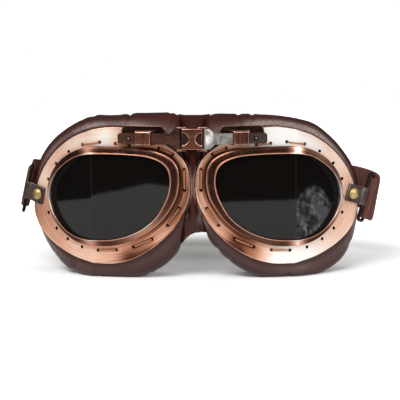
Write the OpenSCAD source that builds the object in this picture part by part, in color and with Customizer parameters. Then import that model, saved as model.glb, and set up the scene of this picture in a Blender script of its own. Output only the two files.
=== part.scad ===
/* [Face plates] */
// Yaw of each cup's front panel away from the straight-ahead direction, degrees
panel_yaw = 9; // [0:1:20]
// Bend between the front panel and the temple panel, degrees
temple_bend = 24; // [10:1:40]
// Flat distance from the nose line to the start of the bend
bend_start = 58; // [50:1:70]
// Flat length of the bend
bend_length = 5; // [3:0.5:10]
// Thickness of the copper plate
plate_t = 1.0; // [0.6:0.1:1.6]
// Diameter of each stitch hole
stitch_hole_d = 1.8; // [1:0.1:2]
// Diameter of the waxed thread
thread_d = 0.66; // [0.4:0.02:1]

/* [Lens and bezel] */
// Height of the bezel's inner rim over the plate
rim_h = 3.4; // [2:0.1:5]
// Height of the bezel's outer ridge over the plate
ridge_h = 2.3; // [1:0.1:4]
// Thickness of the tinted lens
lens_t = 1.7; // [1:0.1:3]
// Height of the lens's front face over the plate
lens_face_h = 0.95; // [0:0.05:2]

/* [Bridge] */
// Height of the bridge's centre line over the ground
bridge_z = 84.4; // [80:0.1:88]
// Distance of each hinge pin from the middle
hinge_x = 7.9; // [6:0.1:10]
// Distance of the hinge pins in front of the plates' nose line
hinge_front = 4.0; // [3:0.1:6]
// Height of each sliding arm
arm_w = 6.2; // [4:0.1:8]
// Thickness of the arms and the link
arm_t = 1.2; // [0.8:0.1:2]

/* [Mask] */
// Thickness of the leather
leather_t = 1.4; // [0.8:0.1:2]
// Depth of the mask from the nose line to the face at the middle
mask_depth = 27; // [20:1:35]
// Radius of the curve that fits the face, front view to temples
face_curve = 175; // [140:5:220]
// Thickness of the soft face cushion
cushion_t = 5; // [3:0.5:8]

/* [Strap] */
// Width of the elastic strap
strap_w = 25; // [20:1:30]
// Thickness of the elastic strap
strap_t = 1.5; // [1:0.1:2.5]
// Diameter of the ring wire
wire_d = 2.0; // [1.5:0.1:3]
// Tilt of the wearer's left tab, outer end up, degrees
left_tab_tilt = -18; // [-25:1:25]
// Tilt of the wearer's right tab, outer end up, degrees
right_tab_tilt = 16; // [-25:1:25]
// Swing of the left ring out of its temple panel, degrees
left_ring_swing = 30; // [0:1:80]
// Swing of the right ring out of its temple panel, degrees
right_ring_swing = 54; // [0:1:80]

/* [Hidden] */
shift = [-3.3, -43.8, 0];
bend_r = bend_length / (temple_bend * PI / 180);
bend_end = bend_start + bend_length;
tangent = bend_r * tan(temple_bend / 2);
pin_r = 0.65;
barrel_r = 1.25;
axis_s = hinge_x * cos(panel_yaw) - hinge_front * sin(panel_yaw);
axis_h = hinge_x * sin(panel_yaw) + hinge_front * cos(panel_yaw);
arm_h0 = axis_h + 0.05;
arm_h1 = arm_h0 + arm_t;
box_in = 22.9;
box_out = 32.4;
box_h = 7.9;
rivet_s = 36.2;
bracket_rivet_s = [35.2, 39.2];
tab_s = 101.2;
tab_in = 4.6;
fold_h = 1.15;
tab_z = 47.3;
tab_w = 10.5;
sheet_t = 0.7;
fold_a = 7.8;
ring_reach = 7;
ring_len = 30.4;
ring_bend = 1.6;
steps = 3;

copper = [0.78, 0.50, 0.38];
dark_copper = [0.36, 0.20, 0.16];
bronze = [0.32, 0.26, 0.23];
brass = [0.72, 0.58, 0.34];
leather = [0.26, 0.15, 0.13];
glass = [0.06, 0.06, 0.06];
black = [0.07, 0.07, 0.07];
webbing = [0.30, 0.16, 0.14];
foam = [0.35, 0.33, 0.31];
thread = [0.45, 0.30, 0.20];

// Outlines in the flat pattern: distance from the nose line, height over the ground.
lens_pts = [[13, 60.5], [14.4, 66.3], [18.6, 70.4], [26.5, 73.2], [37, 74.2], [48, 74.5],
  [58, 74.4], [63, 73.8], [70.5, 71.7], [78.5, 67], [84.8, 61.4], [88.6, 55], [90.1, 48],
  [88.8, 41], [85, 34.3], [78.3, 28.2], [70.5, 24.8], [63, 23.7], [58, 23.6], [48, 24.2],
  [38, 26.8], [29, 31.4], [21, 38.5], [15.6, 48], [13.5, 54.5]];
ridge_pts = [[7.5, 60.5], [8.4, 67.2], [13, 73], [23, 77], [36, 78.4], [48, 78.8],
  [58, 78.8], [63, 78.2], [72, 75.2], [81, 70], [88, 62.5], [91.6, 55], [92.7, 47.5],
  [91.4, 40.5], [87.4, 33], [80, 26], [71.5, 21.8], [63, 20.2], [58, 20], [47.5, 20.4],
  [36.5, 23.5], [26.5, 28.8], [17.5, 36.6], [10.6, 46.8], [8.1, 54]];
plate_pts = [[1.6, 59.5], [3.4, 68], [8.6, 75], [18.5, 81.6], [33, 88.3], [47, 90.2],
  [58, 88.9], [63, 87.6], [74.5, 83.1], [87, 74.6], [96.5, 64], [102.3, 52.5], [104.8, 41],
  [103.5, 33], [98.5, 25], [89, 18], [76.5, 12.6], [63, 9.7], [58, 9.2], [46, 9.6],
  [33.5, 13.6], [21.5, 21.4], [11.5, 31.2], [4.2, 43.6], [1.9, 51.5]];
// Each cup's widest outline and the eye opening at the face, seen from the front: [x, z].
left_mask = [[7, 62], [7, 74], [7, 87], [10, 95.6], [28, 95.9], [45, 95], [55, 93.6],
  [61, 92.2], [72, 88.2], [84, 77.3], [92.3, 65.8], [96.7, 55.9], [97.8, 44], [97.2, 32],
  [94, 18.5], [87.5, 7.3], [77, 1.2], [65, -1.4], [58, -2], [47, -1.6], [36, 1],
  [24, 7.6], [14, 17], [7.5, 27], [7, 46]];
right_mask = [[7, 62], [7, 74], [7, 87], [10, 96.2], [30, 96.6], [46, 95.2], [57, 94.8],
  [63, 93.4], [73, 88.6], [84.6, 79.7], [92.5, 69], [96.5, 58], [97.4, 45], [96, 33],
  [92, 20.5], [85, 10.5], [76.5, 3.2], [65, 0.2], [57, -1.6], [46, -1.8], [35, 0.2],
  [23.5, 3.6], [12, 12.6], [7, 23], [7, 44]];
eye_pts = [[13.5, 62], [14.5, 68], [18.5, 73.5], [27, 77], [37, 78.5], [48, 79], [57, 78.5],
  [62, 77.5], [68.5, 74.5], [76, 70], [82, 63.5], [85.5, 56.5], [86.5, 49], [85, 41.5],
  [81, 34], [75, 28], [68, 23.5], [62, 21.2], [57, 20.4], [48, 20.4], [38.5, 23],
  [29.5, 28], [21, 36], [15.8, 47], [14, 55]];
// Stitch holes in the flat pattern; a thread joins each one listed in sewn_holes to the next,
// and at the temple it stays behind the plate.
holes = [[4.9, 66], [4.8, 54.2], [8.1, 43.2], [14.9, 33.2], [24.6, 24.6], [35.6, 19.8],
  [46.1, 17.7], [57, 17.2], [68.4, 18.2], [79.2, 22], [87.6, 27.6], [93.6, 36.6], [93.7, 46.5],
  [93.3, 56.8], [87, 66.6], [77.2, 74.4], [66.6, 79.3], [55.2, 81.2], [45.6, 80.5],
  [37.4, 79.8], [19.6, 78.2], [11.8, 74.9]];

sewn_holes = [0, 2, 4, 6, 16, 18, 20];

count = len(lens_pts);
n = count * steps;

// Part to show

$fn = 36;

// A closed curve through control points, sampled at station i of n.
function wrap(p, i) = p[(i + 2 * len(p)) % len(p)];
function blend(a, b, c, d, u) =
  0.5 * ((2 * b) + (c - a) * u + (2 * a - 5 * b + 4 * c - d) * u * u
  + (3 * b - a - 3 * c + d) * u * u * u);
function at(p, i) = let (k = floor(i / steps), u = i / steps - k)
  blend(wrap(p, k - 1), wrap(p, k), wrap(p, k + 1), wrap(p, k + 2), u);
function mix(a, b, w) = a + (b - a) * w;
function turn(p, a) = [p[0] * cos(a) - p[1] * sin(a), p[0] * sin(a) + p[1] * cos(a)];
function unit(v) = v / norm(v);

// Point over the bent plate: s along the flat pattern, h in front of it, z up.
function surf(s, h, z) =
  let (a = s <= bend_start ? 0 : s >= bend_end ? temple_bend
         : (s - bend_start) / bend_r * 180 / PI,
       e = max(0, s - bend_end),
       c = s <= bend_start ? s : bend_start,
       x = c + (bend_r + h) * sin(a) + e * cos(a),
       y = bend_r - (bend_r + h) * cos(a) + e * sin(a),
       q = turn([x, y], panel_yaw))
  [q[0], q[1], z];
// Between the lens opening (w = 0) and the ridge (w = 1), and from the ridge to the edge.
function seat(i, w, h) = let (p = mix(at(lens_pts, i), at(ridge_pts, i), w))
  surf(p[0], h, p[1]);
function rimward(i, w, h) = let (p = mix(at(ridge_pts, i), at(plate_pts, i), w))
  surf(p[0], h, p[1]);
function face_y(x) = mask_depth + x * x / (2 * face_curve);
// The cup's wall of outline m: moved in by d towards the eye, back = 0 to 1 in depth.
function inward(p, d) = p - unit(p - [50, 48]) * d;
function wall(m, i, d, lo) = let (p = inward(at(m, i), d))
  [max(lo, p[0]), max(d < 1.8 ? 0 : d, p[1])];
function flank(m, i, d, back, lo = 7) =
  let (p = wall(m, i, d, lo), e = rimward(i, 1, -2))
  [p[0], mix(e[1] + 2.5, face_y(p[0]), back), p[1]];
function at_face(p, dy) = [p[0], face_y(p[0]) + dy, p[1]];
function hold(p, lo) = [max(lo, p[0]), p[1], p[2]];

// A ring-shaped solid lofted through closed loops of n points.
module ring_loft(loops) {
  m = len(loops);
  k = len(loops[0]);
  polyhedron(points = [for (l = loops) each l],
    faces = [for (j = [0:m - 1]) for (i = [0:k - 1])
      let (a = j * k + i, b = j * k + (i + 1) % k,
           c = ((j + 1) % m) * k + (i + 1) % k, d = ((j + 1) % m) * k + i)
      each [[a, c, b], [a, d, c]]]);
}
// A ribbon lofted through rectangles of four points, with flat ends.
module strip_loft(rects) {
  m = len(rects);
  polyhedron(points = [for (r = rects) each r],
    faces = concat([[0, 2, 1], [0, 3, 2]],
      [for (j = [0:m - 2]) for (i = [0:3])
        let (a = j * 4 + i, b = j * 4 + (i + 1) % 4)
        each [[a, b, a + 4], [b, b + 4, a + 4]]],
      [[m * 4 - 4, m * 4 - 3, m * 4 - 2], [m * 4 - 4, m * 4 - 2, m * 4 - 1]]));
}

module left_side() translate(shift) children();
module right_side() translate(shift) mirror([1, 0, 0]) children();
module front_panel() rotate([0, 0, panel_yaw]) children();
module temple_panel() front_panel() translate([bend_start + tangent, 0, 0])
  rotate([0, 0, temple_bend]) translate([tangent - bend_end, 0, 0]) children();
// A flat shape drawn in the pattern, thick from h0 to h1 in front of the plate.
module slab(h0, h1) translate([0, -h0, 0]) rotate([90, 0, 0]) linear_extrude(h1 - h0)
  children();
module rod(p, q, d, sides) {
  v = q - p;
  translate(p) rotate([0, acos(v[2] / norm(v)), atan2(v[1], v[0])])
    cylinder(h = norm(v), d = d, $fn = sides);
}

// The shell carries the plate's bend in the same steps as the bezel that is clamped on it.
module faceplate() color(copper) difference() {
  ring_loft([for (h = [-plate_t, 0]) [for (i = [0:n - 1]) seat(i, 0.58, h)],
    for (h = [0, -plate_t]) [for (i = [0:n - 1]) rimward(i, 1, h)]]);
  for (p = holes)
    if (p[0] < bend_start) front_panel() slab(-3, 3) translate(p) circle(d = stitch_hole_d);
    else temple_panel() slab(-3, 3) translate(p) circle(d = stitch_hole_d);
  temple_panel() slab(-3, 3) translate([tab_s, tab_z]) circle(d = 2.6);
  for (s = bracket_rivet_s) front_panel() slab(-3, 3) translate([s, bridge_z])
    circle(d = 1.6);
}

module lens_bezel() color(dark_copper) ring_loft([
  for (q = [[0, 1.3], [0, rim_h - 0.25], [0.04, rim_h], [0.13, rim_h], [0.17, rim_h - 0.2],
      [0.55, (rim_h + ridge_h) / 2 + 0.15], [0.92, ridge_h + 0.25], [1, ridge_h],
      [1, 0.08], [0.55, 0.08], [0.55, -2.4], [0.42, -2.4], [0.42, 1.3]])
    [for (i = [0:n - 1]) seat(i, q[0], q[1])]]);

module lens_2d() polygon([for (i = [0:n - 1]) mix(at(lens_pts, i), at(ridge_pts, i), 0.38)]);
module crease_cut(side) front_panel() translate([bend_start + tangent, 0, 0])
  rotate([0, 0, temple_bend / 2]) translate([side > 0 ? 0 : -100, -30, 0])
  cube([100, 60, 100]);
module lens() color(glass) union() {
  intersection() {
    front_panel() slab(lens_face_h - lens_t, lens_face_h) lens_2d();
    crease_cut(-1);
  }
  intersection() {
    temple_panel() slab(lens_face_h - lens_t, lens_face_h) lens_2d();
    crease_cut(1);
  }
}

module lens_gasket() color(black) ring_loft([
  for (q = [[0.14, -0.82], [0.36, -0.82], [0.36, -2.4], [0.14, -2.4]])
    [for (i = [0:n - 1]) seat(i, q[0], q[1])]]);

module lens_retainer() color(bronze) ring_loft([
  for (q = [[0.1, -2.5], [0.95, -2.5], [0.95, -3.3], [0.1, -3.3]])
    [for (i = [0:n - 1]) seat(i, q[0], q[1])]]);

module stitch(a, b) {
  over = thread_d / 2 + 0.08;
  mids = a[0] < bend_start && b[0] > bend_end
    || a[0] > bend_end && b[0] < bend_start
    ? [for (s = a[0] < b[0] ? [bend_start, (bend_start + bend_end) / 2, bend_end]
        : [bend_end, (bend_start + bend_end) / 2, bend_start])
        [s, mix(a[1], b[1], (s - a[0]) / (b[0] - a[0]))]] : [];
  run = concat([a], mids, [b]);
  for (i = [0:len(run) - 2])
    rod(surf(run[i][0], over, run[i][1]), surf(run[i + 1][0], over, run[i + 1][1]),
      thread_d, 8);
  for (p = [a, b])
    rod(surf(p[0], over + 0.2, p[1]), surf(p[0], -2.7, p[1]), thread_d, 8);
}
module plate_stitching() color(thread) union() {
  for (i = sewn_holes) stitch(holes[i], holes[i + 1]);
}

module rounded(x0, x1, z0, z1, r) translate([x0 + r, z0 + r]) offset(r = r)
  square([x1 - x0 - 2 * r, z1 - z0 - 2 * r]);
module bridge_bracket() color(bronze) front_panel() difference() {
  slab(0.08, 1.2) union() {
    rounded(16, 41.6, bridge_z - 3.2, 91.3, 3);
    translate([16, bridge_z - 3.2]) square([8, 5]);
  }
  for (s = bracket_rivet_s) slab(-1, 3) translate([s, bridge_z]) circle(r = 0.8);
}
module bracket_rivets() color(bronze) front_panel() for (s = bracket_rivet_s)
  translate([s, 0, bridge_z]) rotate([90, 0, 0]) {
    translate([0, 0, -2.3]) cylinder(r = 0.75, h = 3.6);
    translate([0, 0, 1.25]) cylinder(r1 = 1.4, r2 = 0.9, h = 0.6);
  }
module guide_box() color(dark_copper) front_panel() difference() {
  intersection() {
    translate([0, 0, bridge_z - 3.9]) linear_extrude(8.4)
      polygon([[box_in - 2, -1.25], [box_out + 0.6, -1.25], [box_out, -box_h + 0.7],
        [box_out - 0.7, -box_h], [box_in + 0.7, -box_h], [box_in, -box_h + 0.7]]);
    translate([box_in - 3, 0, 0]) rotate([90, 0, 90]) linear_extrude(20)
      polygon([[-0.5, bridge_z - 3.9], [-box_h + 0.7, bridge_z - 3.9],
        [-box_h, bridge_z - 3.2], [-box_h, bridge_z + 3.8], [-box_h + 0.7, bridge_z + 4.5],
        [-0.5, bridge_z + 4.5]]);
  }
  translate([box_in - 5, -arm_h1 - 0.12, bridge_z - arm_w / 2 - 0.12])
    cube([20, arm_t + 0.24, arm_w + 0.24]);
}
module bridge_arm() color(bronze) difference() {
  union() {
    front_panel() slab(arm_h0, arm_h1) union() {
      polygon([[axis_s, bridge_z - 5.9], [axis_s + 2.2, bridge_z - 5.9],
        [axis_s + 5.2, bridge_z - arm_w / 2], [20, bridge_z - arm_w / 2],
        [20, bridge_z + arm_w / 2], [axis_s + 5.2, bridge_z + arm_w / 2],
        [axis_s + 2.2, bridge_z + 5.9], [axis_s, bridge_z + 5.9]]);
      rounded(18, 42.7, bridge_z - arm_w / 2, bridge_z + arm_w / 2, 1.6);
      translate([18, bridge_z - arm_w / 2]) square([6, arm_w]);
    }
    translate([hinge_x, -hinge_front, bridge_z - 5.9]) cylinder(r = barrel_r, h = 11.8);
  }
  translate([hinge_x, -hinge_front, bridge_z - 8]) cylinder(r = pin_r + 0.06, h = 16);
  front_panel() slab(arm_h0 - 1, arm_h1 + 1) translate([rivet_s, bridge_z]) circle(r = 0.8);
}
module stop_rivet() color(bronze) front_panel() translate([rivet_s, 0, bridge_z])
  rotate([90, 0, 0]) {
    translate([0, 0, arm_h0 - 0.7]) cylinder(r = 1.3, h = 0.65);
    translate([0, 0, arm_h0 - 0.1]) cylinder(r = 0.75, h = arm_t + 0.3);
    translate([0, 0, arm_h1 + 0.05]) cylinder(r1 = 1.4, r2 = 1.0, h = 0.7);
  }
module bridge_link() translate(shift) color(dark_copper) difference() {
  union() {
    translate([-5.9, -hinge_front - barrel_r + 0.6, bridge_z - 5.9]) cube([11.8, 0.9, 11.8]);
    translate([-5.9, -hinge_front - barrel_r + 0.7, bridge_z - 5.9]) rotate([90, 0, 0])
      linear_extrude(0.7) difference() {
        square([11.8, 11.8]);
        for (x = [0.35, 11.45]) translate([x, 5.9]) circle(r = 3.75);
      }
    for (x = [-1, 1], z = [-6.95, 6.05]) translate([0, 0, bridge_z + z])
      linear_extrude(0.9) {
        translate([x > 0 ? 3.5 : -hinge_x, -hinge_front - 0.65]) square([hinge_x - 3.5, 1.9]);
        translate([x * hinge_x, -hinge_front]) circle(r = barrel_r);
      }
    for (x = [-5.3, 3.5], z = [-6.2, 5.8]) translate([x, -hinge_front - 0.65, bridge_z + z])
      cube([1.8, 0.9, 0.4]);
  }
  for (x = [-1, 1]) translate([x * hinge_x, -hinge_front, bridge_z - 9])
    cylinder(r = pin_r + 0.03, h = 18);
}
module hinge_pins() translate(shift) color(bronze) for (x = [-1, 1])
  translate([x * hinge_x, -hinge_front, 0]) {
    translate([0, 0, bridge_z - 7.3]) cylinder(r = pin_r, h = 14.5);
    translate([0, 0, bridge_z + 7.0]) cylinder(r = 1.1, h = 0.4);
    translate([0, 0, bridge_z - 7.4]) cylinder(r = 1.1, h = 0.4);
  }

// The tab folds round the ring's inner bar; a is outward from its rivet, c across it.
module tab_frame(tilt) temple_panel() translate([tab_s, 0, tab_z]) rotate([0, -tilt, 0])
  children();
module strap_tab(tilt) color(bronze) tab_frame(tilt) difference() {
  union() {
    for (h = [0.1, 0.1 + sheet_t]) translate([-tab_in, -h - sheet_t, -tab_w / 2])
      cube([tab_in + fold_a - 0.9, sheet_t, tab_w]);
    translate([fold_a, -fold_h, -tab_w / 2])
      cylinder(r = wire_d / 2 + 0.1 + sheet_t, h = tab_w);
  }
  translate([fold_a, -fold_h, -tab_w]) cylinder(r = wire_d / 2 + 0.1, h = tab_w * 2);
  rotate([90, 0, 0]) translate([0, 0, -2]) cylinder(r = 1.3, h = 6);
}
module tab_rivet(tilt) color(brass) tab_frame(tilt) rotate([90, 0, 0]) {
  translate([0, 0, -1.7]) cylinder(r = 1.25, h = 3.4);
  translate([0, 0, -1.7]) cylinder(r = 2.2, h = 0.6);
  translate([0, 0, 1.55]) intersection() {
    cylinder(r = 3.3, h = 2);
    translate([0, 0, -3.1]) sphere(r = 4.55);
  }
}
module ring_frame(tilt, swing) tab_frame(tilt) translate([fold_a, -fold_h, 0])
  rotate([0, 0, swing]) children();
module wire_ring(tilt, swing) color(black) ring_frame(tilt, swing) union() {
  b = ring_bend;
  l = ring_len / 2 - wire_d / 2 - b;
  w = ring_reach - 2 * b;
  for (x = [0, ring_reach]) translate([x, 0, -l]) cylinder(d = wire_d, h = 2 * l);
  for (z = [-1, 1]) {
    translate([b, 0, z * (l + b)]) rotate([0, 90, 0]) cylinder(d = wire_d, h = w);
    for (x = [0, 1]) translate([b + x * w, 0, z * l])
      rotate([90, 0, 0]) rotate([0, 0, x > 0 ? (z > 0 ? 0 : 270) : (z > 0 ? 90 : 180)])
      rotate_extrude(angle = 90) translate([b, 0]) circle(d = wire_d, $fn = 24);
  }
}
eye_r = wire_d / 2 + 0.15;
sewn = 8;
module strap_end(tilt, swing) color(webbing) ring_frame(tilt, swing)
  translate([ring_reach, 0, -strap_w / 2]) linear_extrude(strap_w) difference() {
    union() {
      circle(r = eye_r + strap_t);
      translate([0, -strap_t]) square([sewn, 2 * strap_t]);
    }
    circle(r = eye_r);
  }

// The strap's path in plan, as [x, y, height of its middle], from a ring to the back.
function rot_y(v, a) = [v[0] * cos(a) + v[2] * sin(a), v[1], -v[0] * sin(a) + v[2] * cos(a)];
function rot_z(v, a) = [v[0] * cos(a) - v[1] * sin(a), v[0] * sin(a) + v[1] * cos(a), v[2]];
function on_temple(v) = let (a = rot_z([v[0] + tangent - bend_end, v[1], v[2]], temple_bend))
  rot_z([a[0] + bend_start + tangent, a[1], a[2]], panel_yaw);
function on_ring(v, tilt, swing) = let (a = rot_z(v, swing),
  b = rot_y([a[0] + fold_a, a[1] - fold_h, a[2]], -tilt))
  on_temple([b[0] + tab_s, b[1], b[2] + tab_z]);
function along(p, u) = let (m = len(p) - 1, k = min(m - 1, floor(u * m)), f = u * m - k)
  blend(k > 0 ? p[k - 1] : 2 * p[0] - p[1], p[k], p[k + 1],
    k < m - 1 ? p[k + 2] : 2 * p[m] - p[m - 1], f);
function ribbon(p, up0, m, t, w) = [for (j = [0:m])
  let (u = j / m, c = along(p, u),
       d = unit(along(p, min(1, u + 0.01)) - along(p, max(0, u - 0.01))),
       up = unit(mix(up0, [0, 0, 1], min(1, u * 1.6))), side = unit(cross(d, up)))
  [c - side * t / 2 - up * w / 2, c + side * t / 2 - up * w / 2,
   c + side * t / 2 + up * w / 2, c - side * t / 2 + up * w / 2]];
back_y = 89;
back_x = 44;
back_z = 46.5;
module strap_run(tilt, swing, mids) {
  a = on_ring([ring_reach + sewn + 0.1, 0, 0], tilt, swing);
  b = on_ring([ring_reach + sewn + 3, 0, 0], tilt, swing);
  up = unit(on_ring([0, 0, 1], tilt, swing) - on_ring([0, 0, 0], tilt, swing));
  color(webbing) strip_loft(ribbon(concat([a, b], mids,
    [[back_x + 5, back_y, back_z], [back_x + 0.1, back_y, back_z]]), up, 30, strap_t,
    strap_w));
}
module strap_back() translate(shift) color(webbing)
  translate([-back_x, back_y - strap_t / 2, back_z - strap_w / 2])
  cube([2 * back_x, strap_t, strap_w]);
module strap_tail() translate(shift) color(webbing)
  translate([-38, back_y + strap_t / 2 + 0.15, back_z - strap_w / 2])
  cube([62, strap_t, strap_w]);
module strap_slider() translate(shift) color(bronze)
  translate([-4, back_y + 0.8, back_z - 14.5]) difference() {
    translate([-7, -3, 0]) cube([14, 6, 29]);
    translate([-8, -2.1, 1.6]) cube([16, 4.2, 25.8]);
    translate([-5.4, -4, 1.6]) cube([10.8, 4, 25.8]);
  }
module slider_bar() translate(shift) color(bronze)
  translate([-4, back_y - 1.75, back_z - 12.85]) cylinder(d = 1.4, h = 25.7);

// Leather, padding and lining of one cup.
module mask_shell(m) color(leather) ring_loft(concat(
  [[for (i = [0:n - 1]) seat(i, 0.62, -plate_t - 0.05)],
   [for (i = [0:n - 1]) rimward(i, 0.9, -plate_t - 0.05)],
   [for (i = [0:n - 1]) mix(rimward(i, 1, -plate_t - 0.6), flank(m, i, 0.5, 0), 0.35)],
   [for (i = [0:n - 1]) mix(rimward(i, 1, -plate_t - 2.2), flank(m, i, 0.5, 0.08), 0.8)]],
  [for (q = [[0.5, 0.2], [0, 0.55]]) [for (i = [0:n - 1]) flank(m, i, q[0], q[1])]],
  [[for (i = [0:n - 1]) at_face(wall(m, i, 1.4, 7), -1.2)],
   [for (i = [0:n - 1]) at_face(wall(m, i, 2.8, 8.4), -1.2)],
   [for (i = [0:n - 1]) flank(m, i, 1.9, 0.25, 8.4)],
   [for (i = [0:n - 1])
     hold(mix(rimward(i, 0.85, -plate_t - leather_t - 1), flank(m, i, 1.9, 0.15), 0.7), 7.8)],
   [for (i = [0:n - 1]) hold(rimward(i, 0.8, -plate_t - leather_t), 4.9)],
   [for (i = [0:n - 1]) seat(i, 0.62, -plate_t - leather_t)]]));
module foam_core(m) color(foam) ring_loft([
  [for (i = [0:n - 1]) hold(mix(seat(i, 1, -4.2), flank(m, i, 4, 0.25), 0.2), 10.6)],
  [for (i = [0:n - 1]) hold(mix(seat(i, 1, -4.6), flank(m, i, 3.6, 0.3), 0.8), 9.6)],
  [for (i = [0:n - 1]) flank(m, i, 3, 0.5, 8.9)],
  [for (i = [0:n - 1]) at_face(wall(m, i, 3.4, 8.9), -1.6)],
  [for (i = [0:n - 1]) at_face(inward(at(eye_pts, i), -2.2), -1.6)]]);
module mask_lining() color(black) ring_loft([
  for (q = [[0.03, 12.3], [0.6, 11.2]]) [for (i = [0:n - 1]) hold(seat(i, q[0], -3.8), q[1])],
  for (d = [-1.4, 0]) [for (i = [0:n - 1]) at_face(inward(at(eye_pts, i), d), -1.6)]]);
module face_cushion(m) color(leather) ring_loft([
  for (q = [[0.03, -0.2], [0, 0.1], [0.12, 0.65], [0.4, 1], [0.75, 0.88], [0.97, 0.3],
      [0.95, -0.2]])
    [for (i = [0:n - 1]) let (c = mix(wall(m, i, 1.9, 7.3), at(eye_pts, i), q[0]))
      at_face([c[0], max(0.6, c[1])], q[1] * cushion_t)]]);

// Centre gusset over the nose: leather wrapped round a pad, drawn in plan, front and side.
arch = [[7.2, 27.6], [4.5, 28.2], [1.5, 28.2], [-1.5, 27], [-4, 24.8], [-7.2, 20.6]];
module gusset(d) intersection() {
  union() {
    linear_extrude(100) polygon(concat(
      [for (x = [-6.9 + d, -5.7 + d, -3.3 + d, -2, -1.5, -1.2, 0, 1.2, 1.5, 2, 3.3 - d,
          5.7 - d, 6.9 - d])
        [x, d + (abs(x) > 5.8 - d ? 13 : abs(x) > 5 - d ? 8.6 : abs(x) > 2.1 && d < 1
          || abs(x) > 3.2 - d && d > 1 ? 4.3 : abs(x) > 1.4 ? 1.6 : abs(x) > 1 ? 0.8 : 0.2)]],
      [[6.9 - d, 26.5 + d], [-6.9 + d, 26.5 + d]]));
    for (z = [[0, 35], [77, 100]]) translate([0, 0, z[0]]) linear_extrude(z[1] - z[0])
      polygon([[-6.9 + d, 26.5 + d], [-6.9 + d, 10.8 + d], [-4.2 + d, 2.6 + d],
        [4.2 - d, 2.6 + d], [6.9 - d, 10.8 + d], [6.9 - d, 26.5 + d]]);
  }
  translate([0, 40, 0]) rotate([90, 0, 0]) linear_extrude(60)
    polygon(concat([for (p = arch) p + [0, d]], [[-7.2, 100], [7.2, 100]]));
  translate([-8, 0, 0]) rotate([90, 0, 90]) linear_extrude(16)
    polygon([[4 + d, 20], [1.2 + d, 30], [0, 36], [0, 76], [3 + d, 82], [7 + d, 89],
      [11.5 + d, 93.6 - d], [17 + d, 96 - d], [26.5 + d, 95.4 - d], [26.5 + d, 20 + d]]);
}
module mask_bridge() translate(shift) color(leather) difference() {
  gusset(0);
  gusset(leather_t);
}
module bridge_pad() translate(shift) color(foam) intersection() {
  gusset(leather_t + 0.25);
  translate([-7, 0, 0]) cube([14, 26, 100]);
}

bridge_link();
hinge_pins();
mask_bridge();
bridge_pad();
strap_back();
strap_tail();
strap_slider();
slider_bar();
left_side() faceplate();  // left_faceplate
left_side() lens_bezel();  // left_lens_bezel
left_side() lens();  // left_lens
left_side() lens_gasket();  // left_lens_gasket
left_side() lens_retainer();  // left_lens_retainer
left_side() plate_stitching();  // left_plate_stitching
left_side() bridge_bracket();  // left_bridge_bracket
left_side() bracket_rivets();  // left_bracket_rivets
left_side() guide_box();  // left_guide_box
left_side() bridge_arm();  // left_bridge_arm
left_side() stop_rivet();  // left_stop_rivet
left_side() strap_tab(left_tab_tilt);  // left_strap_tab
left_side() tab_rivet(left_tab_tilt);  // left_tab_rivet
left_side()  // left_wire_ring
  wire_ring(left_tab_tilt, left_ring_swing);
left_side() mask_shell(left_mask);  // left_mask_shell
left_side() foam_core(left_mask);  // left_foam_core
left_side() mask_lining();  // left_mask_lining
left_side() face_cushion(left_mask);  // left_face_cushion
left_side()  // left_strap_end
  strap_end(left_tab_tilt, left_ring_swing);
left_side()  // left_strap_run
  strap_run(left_tab_tilt, left_ring_swing,
    [[109, 57, 42.4], [105, 67, 43.8], [95, 77.5, 45.3], [77, 86, 46.2], [60, 88.7, 46.5]]);
right_side() faceplate();  // right_faceplate
right_side() lens_bezel();  // right_lens_bezel
right_side() lens();  // right_lens
right_side() lens_gasket();  // right_lens_gasket
right_side() lens_retainer();  // right_lens_retainer
right_side() plate_stitching();  // right_plate_stitching
right_side() bridge_bracket();  // right_bridge_bracket
right_side() bracket_rivets();  // right_bracket_rivets
right_side() guide_box();  // right_guide_box
right_side() bridge_arm();  // right_bridge_arm
right_side() stop_rivet();  // right_stop_rivet
right_side() strap_tab(right_tab_tilt);  // right_strap_tab
right_side() tab_rivet(right_tab_tilt);  // right_tab_rivet
right_side()  // right_wire_ring
  wire_ring(right_tab_tilt, right_ring_swing);
right_side() mask_shell(right_mask);  // right_mask_shell
right_side() foam_core(right_mask);  // right_foam_core
right_side() mask_lining();  // right_mask_lining
right_side() face_cushion(right_mask);  // right_face_cushion
right_side()  // right_strap_end
  strap_end(right_tab_tilt, right_ring_swing);
right_side()  // right_strap_run
  strap_run(right_tab_tilt, right_ring_swing,
    [[101.5, 64, 51.8], [96, 75, 49.4], [84, 83.5, 47.6], [66, 88.2, 46.7]]);
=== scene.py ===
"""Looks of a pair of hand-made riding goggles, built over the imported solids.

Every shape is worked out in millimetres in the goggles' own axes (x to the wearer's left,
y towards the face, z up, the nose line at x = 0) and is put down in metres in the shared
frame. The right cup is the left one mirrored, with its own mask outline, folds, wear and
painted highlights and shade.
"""
import logging
import math
from dataclasses import dataclass, field
from enum import Enum
from typing import Mapping, Optional, Sequence, Union

import bmesh
import bpy
import numpy as np
from mathutils import Matrix, Vector


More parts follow.
